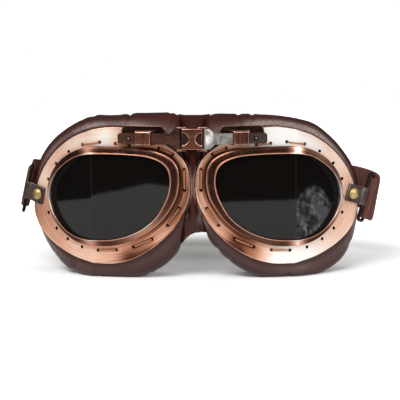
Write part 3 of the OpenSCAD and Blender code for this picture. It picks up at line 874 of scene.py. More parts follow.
def finished_copy(node: str, body: str, slot: str, finish: Finish, edge: Finish = COPPER_EDGE,
                  bevel: float = 0.0, sharp: float = 38.0,
                  clamped: bool = True) -> bpy.types.Object:
    """A solid's own shape with merged faces and rounded edges that show wear.

    Args:
        node: the solid.
        body: the body that it moves with.
        slot: the record's material slot.
        finish: its faces' finish.
        edge: its rounded edges' finish.
        bevel: width of the rounding in millimetres, 0 for none.
        sharp: edges bent more than this many degrees stay sharp.
        clamped: whether the rounding stops where two edges come close.

    Returns:
        The new object.
    """
    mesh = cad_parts[node].data.copy()
    mesh.name = f"{node}_worn"
    work = bmesh.new()
    work.from_mesh(mesh)
    bmesh.ops.remove_doubles(work, verts=work.verts, dist=2e-6)
    bmesh.ops.dissolve_limit(work, angle_limit=math.radians(0.6), verts=work.verts,
                             edges=work.edges)
    work.to_mesh(mesh)
    work.free()
    mesh.shade_smooth()
    mesh.set_sharp_from_angle(angle=math.radians(sharp))
    mesh.materials.clear()
    for each in (finish, edge):
        mesh.materials.append(each.material())
    mesh.polygons.foreach_set("material_index", np.zeros(len(mesh.polygons), np.int32))
    made = shown(f"{node}_worn", mesh)
    if bevel:
        rounding = made.modifiers.new("worn_edges", "BEVEL")
        rounding.width, rounding.segments = bevel / 1000, 2
        rounding.limit_method, rounding.angle_limit = "ANGLE", math.radians(sharp)
        rounding.use_clamp_overlap, rounding.material = clamped, 1
    return fasten(made, body, slot, node)


@dataclass(frozen=True)
class BentPlate:
    """The flat pattern of a cup's front, bent back round a vertical line at the temple.

    Attributes:
        yaw: how far the front panel turns back from the nose, in degrees.
        bend: how much further the temple panel turns back, in degrees.
        start: from the nose line to the bend, along the pattern.
        length: the bend's length along the pattern.
        lens: outline of the lens opening.
        ridge: outline of the bezel.
        edge: outline of the plate.
        holes: middles of the stitch holes.
        per: samples between two points of an outline.
    """

    yaw: float = 9.0
    bend: float = 24.0
    start: float = 58.0
    length: float = 5.0
    lens: Sequence = ((13, 60.5), (14.4, 66.3), (18.6, 70.4), (26.5, 73.2), (37, 74.2),
                      (48, 74.5), (58, 74.4), (63, 73.8), (70.5, 71.7), (78.5, 67), (84.8, 61.4),
                      (88.6, 55), (90.1, 48), (88.8, 41), (85, 34.3), (78.3, 28.2), (70.5, 24.8),
                      (63, 23.7), (58, 23.6), (48, 24.2), (38, 26.8), (29, 31.4), (21, 38.5),
                      (15.6, 48), (13.5, 54.5))
    ridge: Sequence = ((7.5, 60.5), (8.4, 67.2), (13, 73), (23, 77), (36, 78.4), (48, 78.8),
                       (58, 78.8), (63, 78.2), (72, 75.2), (81, 70), (88, 62.5), (91.6, 55),
                       (92.7, 47.5), (91.4, 40.5), (87.4, 33), (80, 26), (71.5, 21.8),
                       (63, 20.2), (58, 20), (47.5, 20.4), (36.5, 23.5), (26.5, 28.8),
                       (17.5, 36.6), (10.6, 46.8), (8.1, 54))
    edge: Sequence = ((1.6, 59.5), (3.4, 68), (8.6, 75), (18.5, 81.6), (33, 88.3), (47, 90.2),
                      (58, 88.9), (63, 87.6), (74.5, 83.1), (87, 74.6), (96.5, 64),
                      (102.3, 52.5), (104.8, 41), (103.5, 33), (98.5, 25), (89, 18),
                      (76.5, 12.6), (63, 9.7), (58, 9.2), (46, 9.6), (33.5, 13.6), (21.5, 21.4),
                      (11.5, 31.2), (4.2, 43.6), (1.9, 51.5))
    holes: Sequence = ((4.9, 66), (4.8, 54.2), (8.1, 43.2), (14.9, 33.2), (24.6, 24.6),
                       (35.6, 19.8), (46.1, 17.7), (57, 17.2), (68.4, 18.2), (79.2, 22),
                       (87.6, 27.6), (93.6, 36.6), (93.7, 46.5), (93.3, 56.8), (87, 66.6),
                       (77.2, 74.4), (66.6, 79.3), (55.2, 81.2), (45.6, 80.5), (37.4, 79.8),
                       (19.6, 78.2), (11.8, 74.9))
    per: int = 9

    @property
    def radius(self) -> float:
        """Bend radius: arc length over angle."""
        return self.length / math.radians(self.bend)

    @property
    def tangent(self) -> float:
        """From the bend's start to where the two flat panels would meet."""
        return self.radius * math.tan(math.radians(self.bend) / 2)

    def surf(self, flat: np.ndarray, height: Union[float, np.ndarray]) -> np.ndarray:
        """A pattern point (s, z) laid over the bent plate, height in front of it.

        x and y run straight to the bend, round an arc of radius + height, and straight on;
        then everything turns by the yaw.

        Args:
            flat: pattern points, (s, z) along the last axis.
            height: in front of the plate.

        Returns:
            The points in the cup's own axes.
        """
        s, z = flat[..., 0], flat[..., 1]
        a = np.clip((s - self.start) / self.radius, 0, math.radians(self.bend))
        past = np.maximum(0, s - self.start - self.length)
        x = np.minimum(s, self.start) + (self.radius + height) * np.sin(a) + past * np.cos(a)
        y = self.radius - (self.radius + height) * np.cos(a) + past * np.sin(a)
        c, q = math.cos(math.radians(self.yaw)), math.sin(math.radians(self.yaw))
        return np.stack(np.broadcast_arrays(x * c - y * q, x * q + y * c, z + 0 * x), -1)

    def outline(self, which: Sequence) -> np.ndarray:
        """An outline's stations in the flat pattern."""
        return closed_curve(which, self.per)

    def under_bezel(self, share: float) -> np.ndarray:
        """Pattern points between the lens opening (0) and the ridge (1)."""
        return mixed(self.outline(self.lens), self.outline(self.ridge), share)

    def seat(self, share: float, height: float) -> np.ndarray:
        """A loop between the lens opening (0) and the ridge (1)."""
        return self.surf(self.under_bezel(share), height)

    def rimward(self, share: float, height: float) -> np.ndarray:
        """A loop between the ridge (0) and the plate's edge (1)."""
        return self.surf(mixed(self.outline(self.ridge), self.outline(self.edge), share), height)

    def on_temple(self, v: np.ndarray) -> np.ndarray:
        """A point of the flat pattern past the bend, as (s, y, z)."""
        a = turned(v + (self.tangent - self.start - self.length, 0, 0), self.bend)
        return turned(a + (self.start + self.tangent, 0, 0), self.yaw)


@dataclass(frozen=True)
class Pleat:
    """A radial fold in the mask's leather, by where it meets the outline."""

    x: float
    z: float
    depth: float
    width: float


@dataclass
class Cup:
    """One eye cup: copper plate, bezel, stitching, leather mask, lining and padding.

    Attributes:
        side: the wearer's side.
        mask: the leather's widest outline, from the front.
        pleats: the leather's folds.
        sheen: dabs of painted sheen on the leather.
        copper_highlights_and_shade: dabs of painted highlight and painted shade on the plate.
        bezel_wear_and_highlights: dabs of wear and painted highlight on the bezel.
        plate: the pattern that the metal is laid over.
        mask_depth: from the front to the face, at the nose line.
        face_curve: radius of the face's curve.
        cushion: how far the face cushion stands out towards the face.
        quilts: waves of quilting round the cushion.
        leather_depth: how deep the outer leather goes.
        thread: a stitch's radius.
        hole: a stitch hole's radius.
        sewn: the holes from which a stitch runs to the next one.
    """

    side: Side
    mask: Sequence
    pleats: Sequence[Pleat]
    sheen: Sequence[Sequence[float]]
    copper_highlights_and_shade: Sequence[Sequence[float]]
    bezel_wear_and_highlights: Sequence[Sequence[float]]
    plate: BentPlate = field(default_factory=BentPlate)
    mask_depth: float = 27.0
    face_curve: float = 175.0
    cushion: float = 5.0
    quilts: int = 26
    leather_depth: float = 1.8
    thread: float = 0.37
    hole: float = 1.0
    sewn: Sequence[int] = (0, 2, 4, 6, 16, 18, 20)

    @property
    def body(self) -> str:
        """The body that the cup's pieces ride on."""
        return self.side.of("cup")

    def __post_init__(self) -> None:
        """Samples the mask's outline and the eye opening."""
        self.rim = closed_curve(self.mask, self.plate.per)
        self.eye = closed_curve(EYE, self.plate.per)
        self.share = np.arange(len(self.rim)) / len(self.rim)

    # The mask's own guides.

    def inward(self, flat: np.ndarray, by: float) -> np.ndarray:
        """Points of an outline moved towards the eye's middle."""
        return flat - unit(flat - (EYE_X, EYE_Z)) * by

    def wall(self, by: float, low: float = NOSE_WALL) -> np.ndarray:
        """The widest outline moved in, held off the nose line and the ground.

        The outer leather stands on the ground; what lies deeper stays as far above it.

        Args:
            by: how far in.
            low: the least distance from the nose line.

        Returns:
            The outline as (x, z).
        """
        p = self.inward(self.rim, by)
        ground = by if by >= self.leather_depth else 0.0
        return np.stack([np.maximum(low, p[:, 0]), np.maximum(ground, p[:, 1])], -1)

    def face_y(self, x: np.ndarray) -> np.ndarray:
        """The face's curve: depth + x² / (2 * radius)."""
        return self.mask_depth + x * x / (2 * self.face_curve)

    def flank(self, by: float, back: float, low: float = NOSE_WALL) -> np.ndarray:
        """The cup's wall, back = 0 behind the plate's edge to 1 at the face."""
        p, e = self.wall(by, low), self.plate.rimward(1, -2)
        return np.stack([p[:, 0], mixed(e[:, 1] + 2.5, self.face_y(p[:, 0]), back), p[:, 1]], -1)

    def at_face(self, flat: np.ndarray, dy: float) -> np.ndarray:
        """Outline points at the face, dy behind it."""
        return np.stack([flat[:, 0], self.face_y(flat[:, 0]) + dy, flat[:, 1]], -1)

    def held(self, loop: np.ndarray, low: float) -> np.ndarray:
        """A loop kept off the nose line."""
        return loop * (0, 1, 1) + np.maximum(low, loop[:, :1]) * (1, 0, 0)

    def hoop(self, name: str, loops: Sequence[np.ndarray], finish: Finish, slot: str,
             *nodes: str, mark: Optional[np.ndarray] = None,
             sharp: float = 60.0) -> bpy.types.Object:
        """A closed ring on the cup, its section carried through whole loops.

        Args:
            name: the piece's name without its side.
            loops: the loops, the last joining the first.
            finish: its finish.
            slot: the record's material slot.
            nodes: the solids that it stands for, without their side.
            mark: the painted number at each point.
            sharp: edges bent more than this many degrees stay sharp.

        Returns:
            The piece.
        """
        work = Patchwork()
        work.grid(np.array(loops), rows_close=True, mark=mark)
        made = work.build(self.side.of(name), (finish,), self.side, sharp)
        return fasten(made, self.body, slot, *(self.side.of(node) for node in nodes))

    # Metal.

    def build_plate(self) -> None:
        """The face plate: a rounded band between two outlines, with its holes cut.

        Each row is (share of the width, millimetres past it, height, worn edge or not).
        """
        inner, outer = self.plate.under_bezel(0.58), self.plate.outline(self.plate.edge)
        wide = np.linalg.norm(outer - inner, axis=1)
        rows = [(0, 0, -1.0, 0), (0, 0, -0.1, 1), (0, 0.1, 0.0, 0)]
        rows += [(share, 0, 0.0, 0) for share in np.linspace(0.06, 0.94, 12)]
        rows += [(1, -0.32, 0.0, 1), (1, -0.2, -0.04, 1), (1, -0.06, -0.16, 1), (1, 0, -0.3, 1),
                 (1, 0, -0.88, 0), (1, -0.12, -1.0, 0)]
        loops, across = [], []
        for share, past, height, _ in rows:
            reach = share + past / wide
            loops.append(self.plate.surf(inner + (outer - inner) * reach[:, None], height))
            across.append(wide * reach - min(0.0, height))
        run = travelled(np.concatenate([mixed(inner, outer, 0.5)] * 2)[:len(wide) + 1])
        v = np.array(across)
        v = np.concatenate([v, v[:1] - 2], 0)
        v = np.concatenate([v, v[:, :1]], 1)
        uv = np.stack([np.broadcast_to(run, v.shape), v], -1)
        work = Patchwork()
        work.grid(np.array(loops), rows_close=True, slot=[row[3] for row in rows], uv=uv)
        made = work.build(self.side.of("copper_plate"), (COPPER, COPPER_EDGE), self.side)
        self._punch(made)
        self._paint_light_and_shade(made)
        fasten(made, self.body, "copper_plate", self.side.of("faceplate"))

    def _paint_light_and_shade(self, made: bpy.types.Object) -> None:
        """Paints the copper's tone: the listed dabs of painted highlight and painted shade, a
        painted shadow beside the bezel towards the nose, and a painted shadow under the thread.

        Args:
            made: the plate.
        """
        mesh = made.data
        flat = np.empty(len(mesh.vertices) * 3, np.float32)
        mesh.vertices.foreach_get("co", flat)
        points = (flat.reshape(-1, 3) * 1000 - SHIFT) * (self.side.sign, 1, 1)
        # Painted highlights and painted shade, in the listed dabs.
        tone = dabbed(points, 0.4, self.copper_highlights_and_shade)
        # Painted shadow beside the bezel's ridge, fading out towards the temple.
        ridge = self.plate.rimward(0, 0.0)
        gap = np.linalg.norm(points[:, None] - ridge[None], axis=-1).min(axis=1)
        tone = tone - 0.5 * bell(gap, 1.6) * (1 - smooth_step(points[:, 0], 22, 50))
        # Painted shadow along each sewn stitch, under its thread.
        holes = self.plate.surf(np.array(self.plate.holes, float), 0.0)
        for i in self.sewn:
            a, b = holes[i], holes[i + 1]
            along = np.clip((points - a) @ (b - a) / ((b - a) @ (b - a)), 0, 1)
            gap = np.linalg.norm(points - a - along[:, None] * (b - a), axis=-1)
            tone = tone - 0.3 * bell(gap, 1.1)
        layer = mesh.attributes.get("tone") or mesh.attributes.new("tone", "FLOAT", "POINT")
        layer.data.foreach_set("value", tone.astype(np.float32))

    def _round_bars(self, centres: np.ndarray, profile: Sequence[Sequence[float]],
                    sides: int) -> np.ndarray:
        """Turned shapes standing on the plate.

        Each ring is centre + r(cos t, sin t) in the flat pattern, at its height.

        Args:
            centres: pattern points.
            profile: (radius, height) of each ring.
            sides: points round a ring.

        Returns:
            centres x rings x sides x 3.
        """
        t = round_angles(sides)
        ring = np.stack([np.cos(t), np.sin(t)], -1)
        r = np.array([p[0] for p in profile])[None, :, None, None]
        h = np.array([p[1] for p in profile])[None, :, None]
        return self.plate.surf(centres[:, None, None, :] + r * ring, h)

    def _punch(self, made: bpy.types.Object) -> None:
        """Cuts the stitch holes through the plate.

        Args:
            made: the plate.
        """
        work = Patchwork()
        through = ((self.hole, 1.5), (self.hole, -2.5))
        for bar in self._round_bars(np.array(self.plate.holes), through, 20):
            work.grid(bar, caps=True)
        cutter = work.build(self.side.of("punch"), (HOLE_SHADOW,), self.side)
        cut = made.modifiers.new("holes", "BOOLEAN")
        cut.operation, cut.solver, cut.object = "DIFFERENCE", "EXACT", cutter
        graph = bpy.context.evaluated_depsgraph_get()
        mesh = bpy.data.meshes.new_from_object(made.evaluated_get(graph))
        made.modifiers.clear()
        old, made.data = made.data, mesh
        bpy.data.meshes.remove(old)
        mesh.name = made.name
        mesh.set_sharp_from_angle(angle=math.radians(40))
        bpy.data.objects.remove(cutter)

    def build_hole_shadows(self) -> None:
        """Painted shade in each stitch hole: a small black cup turned about its middle."""
        work = Patchwork()
        r = self.hole
        profile = ((r - 0.05, -0.1), (r - 0.05, -0.9), (0.02, -0.9), (0.02, -1.02),
                   (r - 0.005, -1.02), (r - 0.005, -0.1))
        for cup in self._round_bars(np.array(self.plate.holes), profile, 14):
            work.grid(cup, rows_close=True)
        made = work.build(self.side.of("stitch_holes"), (HOLE_SHADOW,), self.side)
        fasten(made, self.body, "black_rubber")

    def build_stitching(self) -> None:
        """Thread from each sewn hole to the next one.

        A tube along the stitch's line; its radius swells twice round and turns along it, as
        two strands laid together do: r = thread * (1 + 0.22 cos 2(t - twist)).
        """
        work = Patchwork()
        holes = np.array(self.plate.holes)
        t, ring = np.linspace(0, 1, 46), round_angles(12)
        go = 0.04 + 0.92 * np.clip((t - 0.08) / 0.84, 0, 1)
        height = -1.7 + 2.2 * plateau(t, (0.0, 0.14), (0.86, 1.0)) + 0.1 * np.sin(np.pi * t)
        for i in self.sewn:
            a, b = holes[i], holes[i + 1]
            flat = a + (b - a) * go[:, None]
            line = self.plate.surf(flat, height)
            off = np.array([-(b - a)[1], (b - a)[0]]) / np.linalg.norm(b - a)
            side = unit(self.plate.surf(flat + off, height) - line)
            ahead = unit(np.gradient(line, axis=0))
            other = np.cross(ahead, side)
            run = travelled(line)
            swell = self.thread * (1 + 0.22 * np.cos(2 * (ring[None] - run[:, None] * 2.2)))
            tube = (line[:, None] + side[:, None] * (swell * np.cos(ring))[..., None]
                    + other[:, None] * (swell * np.sin(ring))[..., None])
            closed = np.append(ring, 2 * np.pi) * self.thread
            uv = np.stack(np.meshgrid(closed, run), -1)[..., ::-1]
            work.grid(tube, caps=True, uv=uv)
        made = work.build(self.side.of("thread"), (THREAD,), self.side)
        fasten(made, self.body, "waxed_thread", self.side.of("plate_stitching"))

    def build_stop_rivet(self) -> None:
        """The rivet that stops the arm: foot and shank, a dark collar and a bright dome."""
        foot = ((0.02, 4.55), (1.3, 4.55), (1.3, 5.18), (0.74, 5.18), (0.74, 6.48))
        collar = ((1.3, 6.48), (1.42, 6.6), (1.34, 6.8), (1.12, 6.84), (0.98, 6.7), (0.92, 6.55))
        dome = ((0.8, 6.6), (0.74, 6.92), (0.56, 7.14), (0.3, 7.25), (0.03, 7.28))
        work = Patchwork()
        slots = [0] * (len(foot) + len(collar)) + [1] * (len(dome) - 1)
        for lathed in self._round_bars(np.array([[36.2, ARM_Z]]), foot + collar + dome, 28):
            work.grid(lathed, slot=slots, caps=True)
        made = work.build(self.side.of("arm_rivet"), (BLACKENED, STEEL), self.side, 35)
        fasten(made, self.side.of("arm"), "bronze", self.side.of("stop_rivet"))

    def build_bezel(self) -> None:
        """The lens ring: one profile (share, height, wear and painted highlight) carried round the
        two outlines.

        The wear and painted highlight brighten the inner rim, and the outer ridge on the nose's
        side; the listed dabs add more of both.
        """
        profile = ((0.0, 0.9, 0), (0.0, 2.9, 0.4), (0.015, 3.25, 1), (0.05, 3.42, 1),
                   (0.12, 3.42, 1), (0.16, 3.3, 0.3), (0.19, 3.14, 0), (0.34, 3.12, 0),
                   (0.55, 3.0, 0), (0.74, 2.82, 0), (0.86, 2.66, 0.2), (0.94, 2.5, 0.8),
                   (0.985, 2.3, 0.8), (1.0, 2.05, 0.2), (1.0, 1.2, 0), (1.0, 0.08, 0),
                   (0.55, 0.08, 0), (0.55, -2.4, 0), (0.42, -2.4, 0), (0.42, 0.9, 0))
        points = np.array([self.plate.seat(share, height) for share, height, _ in profile])
        across, _, wear_and_sheen = (np.array(column)[:, None] for column in zip(*profile))
        points[..., 1] += 0.07 * crumple(self.share[None], across, self.side.pick(1, 0),
                                         (9, 14, 23, 31))
        # Wear and painted highlight: the outer ridge's is kept towards the nose, and the dabs
        # brighten the bend and the temple side.
        kept = 1 - 0.95 * smooth_step(points[..., 0], 18, 36) * (wear_and_sheen < 0.9)
        mark = dabbed(points, 0.02, self.bezel_wear_and_highlights) + wear_and_sheen * kept * 0.9
        self.hoop("bezel_ring", points, DARK_COPPER, "dark_copper", "lens_bezel", mark=mark,
                  sharp=50)

    def build_lip(self) -> None:
        """The rubber seal's lip on the glass, widest at the temple, where its black also stands for
        the shade inside the bezel.

        Its inner line is the lens opening moved towards the eye's middle by 0.25 mm, and by
        up to 3.6 mm where the outline faces the temple.
        """
        opening = self.plate.outline(self.plate.lens)
        # Widened towards the temple as painted shade.
        temple = smooth_step(opening[:, 0], 62, 90)
        inner = self.inward(opening, 1.0) - opening
        flat = opening + inner * (0.25 + 3.35 * temple)[:, None]
        profile = ((0, 0.97), (0, 1.35), (0.5, 1.3), (0.92, 1.14), (1, 0.97))
        loops = [self.plate.surf(mixed(opening, flat, share), h) for share, h in profile]
        self.hoop("seal_lip", loops, RUBBER, "black_rubber")

    # Soft goods.

    def _painted_sheen(self, points: np.ndarray, across: np.ndarray) -> np.ndarray:
        """Where the leather gets painted sheen: a band beside the plate, and round the listed
        spots.

        The band is a bell across the leather, varied round the cup and strongest at the top, where
        the painted sheen stands for light from above.

        Args:
            points: the leather's loops.
            across: 0 beside the plate to 1 at the face.

        Returns:
            The tone at each point.
        """
        patchy = 0.6 + 0.25 * crumple(self.share[None], across, 5, (3, 7, 16))
        band = bell(across - 0.2, 0.1) * patchy
        # Painted sheen, stronger towards the top as if lit from above.
        band = band * (0.35 + 0.5 * smooth_step(points[..., 2], 45, 90))
        spots = bell(across - 0.22, 0.16) * dabbed(points, 0.0, self.sheen)
        return np.clip(band + spots, 0, 1.2)

    def build_leather(self) -> None:
        """The mask's leather: a spline through whole loops, wrinkled along its normal.

        The outer loops run from under the plate over a soft roll to the widest line and to
        the face; the inner ones run back under the plate.
        """
        rw, fl = self.plate.rimward, self.flank
        outer = [self.plate.seat(0.62, -1.08), rw(0.55, -1.08), rw(0.92, -1.1), rw(0.992, -1.25),
                 mixed(rw(1, -0.85), fl(0.5, 0), 0.16), mixed(rw(1, -0.7), fl(0.5, 0), 0.38),
                 mixed(rw(1, -1.7), fl(0.4, 0.04), 0.66), mixed(rw(1, -3.0), fl(0.3, 0.1), 0.88),
                 fl(0.1, 0.22), fl(0.0, 0.42), fl(0.0, 0.62), fl(0.3, 0.82),
                 self.at_face(self.wall(1.2), -1.3), self.at_face(self.wall(1.9), -0.6)]
        inner = [self.at_face(self.wall(2.8, 8.4), -1.2), fl(1.9, 0.25, 8.4),
                 self.held(mixed(rw(0.85, -3.4), fl(1.9, 0.15), 0.7), 7.8),
                 self.held(rw(0.8, -2.4), 4.9), self.plate.seat(0.62, -2.4)]
        share = np.linspace(0, 1, 64)
        skin = open_curve(outer, share)
        spans, hidden = len(outer) - 1, 3
        across = np.clip((share * spans - hidden) / (spans - hidden), 0, 1)[:, None]
        du = np.roll(skin, -1, 1) - np.roll(skin, 1, 1)
        normal = unit(np.cross(np.gradient(skin, axis=0), du))
        middle, out = len(skin) // 2, skin - skin.mean(axis=(0, 1))
        normal *= np.sign((normal[middle] * out[middle]).sum())
        seed = self.side.pick(11, 23)
        fine = crumple(self.share[None], across, seed, (37, 52, 71, 90), 5.0)
        slow = crumple(self.share[None], across, seed + 1, (11, 17, 26), 2.5)
        free = plateau(across, (0.0, 0.16), (0.92, 1.0))
        lift = (0.04 * fine + 0.08 * slow) * free
        arc = travelled(self.rim)
        for fold in self.pleats:
            nearest = np.argmin(np.hypot(self.rim[:, 0] - fold.x, self.rim[:, 1] - fold.z))
            away = np.abs(arc - arc[nearest])
            away = np.minimum(away, arc[-1] - away)
            shoulder = bell(away - 1.9 * fold.width, fold.width)
            lift = lift + fold.depth * (0.3 * shoulder - bell(away, fold.width)) * free
        skin = skin + normal * lift[..., None]
        skin[..., 2] = np.maximum(skin[..., 2], 0.02)
        mark = np.concatenate([self._painted_sheen(skin, across), np.zeros_like(skin[:len(inner), :, 0])])
        self.hoop("leather_mask", np.concatenate([skin, np.array(inner)]), LEATHER, "leather",
                  "mask_shell", mark=mark, sharp=75)

    def build_foam(self) -> None:
        """The foam under the leather: five loops with soft shoulders between them."""
        loops = [self.held(mixed(self.plate.seat(1, -4.2), self.flank(4, 0.25), 0.2), 10.6),
                 self.held(mixed(self.plate.seat(1, -4.6), self.flank(3.6, 0.3), 0.8), 9.6),
                 self.flank(3, 0.5, 8.9), self.at_face(self.wall(3.4, 8.9), -1.6),
                 self.at_face(self.inward(self.eye, -2.2), -1.6)]
        made = self.hoop("foam_ring", loops, PADDING, "padding", "foam_core")

    def build_lining(self) -> None:
        """The cloth funnel from the lens to the eye: loops on a spline, hemmed at both ends."""
        seat, hem = self.plate.seat, self.at_face(self.eye, -1.6)
        loops = [seat(0.9, -3.55), seat(0.5, -3.5), mixed(seat(0.5, -6), hem, 0.25),
                 mixed(seat(0.5, -4), hem, 0.65), hem]
        down = np.linspace(0, 1, 24)
        skin, down = open_curve(loops, down), down[:, None]
        pull = crumple(self.share[None], down, 41, (24, 33, 47)) * 0.3 * np.sin(np.pi * down)
        outward = unit((skin - (EYE_X, 0, EYE_Z)) * (1, 0, 1))
        skin = skin + outward * pull[..., None]
        back = (skin + outward * 0.9)[-2:0:-1]
        self.hoop("cloth_lining", np.concatenate([skin, back]), LINING, "black_lining",
                  "mask_lining")

    def build_cushion(self) -> None:
        """The face cushion: a crowned ring with a seam and shallow sewn channels.

        Loops lie at shares q between the wall and the eye opening, at heights of a rounded
        profile; the crown sinks where it is quilted, twice for each of the waves round it.
        """
        profile = ((0.03, -0.2), (0.0, 0.05), (0.02, 0.35), (0.1, 0.68), (0.13, 0.6),
                   (0.17, 0.74), (0.3, 0.95), (0.45, 1.0), (0.62, 0.98), (0.78, 0.86),
                   (0.83, 0.7), (0.87, 0.72), (0.96, 0.4), (0.98, 0.1), (0.95, -0.2))
        wall, loops = self.wall(1.9, NOSE_WALL + 0.3), []
        sewn = np.cos(2 * np.pi * self.quilts * self.share) ** 40
        for share, height in profile:
            flat = mixed(wall, self.eye, share)
            flat = np.stack([flat[:, 0], np.maximum(0.6, flat[:, 1])], -1)
            loop = self.at_face(flat, height * self.cushion)
            loop[:, 1] -= sewn * max(0.0, height - 0.6) * 3.2
            loops.append(loop)
        skin = open_curve(loops, np.linspace(0, 1, 44))
        made = self.hoop("cushion", skin, PADDING, "padding", "face_cushion")

    def dress(self) -> None:
        """Finishes what keeps its solid's own shape."""
        of, body = self.side.of, self.body
        finished_copy(of("lens"), body, "tinted_glass", GLASS, sharp=15)
        finished_copy(of("lens_gasket"), body, "black_rubber", RUBBER)
        finished_copy(of("lens_retainer"), body, "bronze", BRONZE)
        finished_copy(of("bridge_bracket"), body, "bronze", BLACKENED, bevel=0.3)
        finished_copy(of("bracket_rivets"), body, "bronze", BLACKENED)
        finished_copy(of("guide_box"), body, "dark_copper", BOX_METAL, bevel=0.16)
        finished_copy(of("tab_rivet"), body, "brass", BRASS, sharp=30)
        arm = self.side.pick(PALE_ARM, DARK_ARM)
        finished_copy(of("bridge_arm"), of("arm"), "bronze", arm, bevel=0.2)
        self.build_stop_rivet()
        finished_copy(of("strap_tab"), of("tab"), "bronze", TAB_METAL, TAB_EDGE, bevel=0.22)
        finished_copy(of("wire_ring"), of("ring"), "black_wire", WIRE, sharp=50)

    def build(self) -> None:
        """Builds the cup's pieces from the front to the back."""
        for make in (self.build_plate, self.build_hole_shadows, self.build_stitching,
                     self.build_bezel, self.build_lip, self.build_leather, self.build_foam,
                     self.build_lining, self.build_cushion, self.dress):
            make()


EYE = ((13.5, 62), (14.5, 68), (18.5, 73.5), (27, 77), (37, 78.5), (48, 79), (57, 78.5),
       (62, 77.5), (68.5, 74.5), (76, 70), (82, 63.5), (85.5, 56.5), (86.5, 49), (85, 41.5),
       (81, 34), (75, 28), (68, 23.5), (62, 21.2), (57, 20.4), (48, 20.4), (38.5, 23),
       (29.5, 28), (21, 36), (15.8, 47), (14, 55))
LEFT_MASK = ((7, 62), (7, 74), (7, 87), (10, 95.6), (28, 95.9), (45, 95), (55, 93.6),
             (61, 92.2), (72, 88.2), (84, 77.3), (92.3, 65.8), (96.7, 55.9), (97.8, 44),
             (97.2, 32), (94, 18.5), (87.5, 7.3), (77, 1.2), (65, -1.4), (58, -2), (47, -1.6),
             (36, 1), (24, 7.6), (14, 17), (7.5, 27), (7, 46))
RIGHT_MASK = ((7, 62), (7, 74), (7, 87), (10, 96.2), (30, 96.6), (46, 95.2), (57, 94.8),
              (63, 93.4), (73, 88.6), (84.6, 79.7), (92.5, 69), (96.5, 58), (97.4, 45),
              (96, 33), (92, 20.5), (85, 10.5), (76.5, 3.2), (65, 0.2), (57, -1.6),
              (46, -1.8), (35, 0.2), (23.5, 3.6), (12, 12.6), (7, 23), (7, 44))


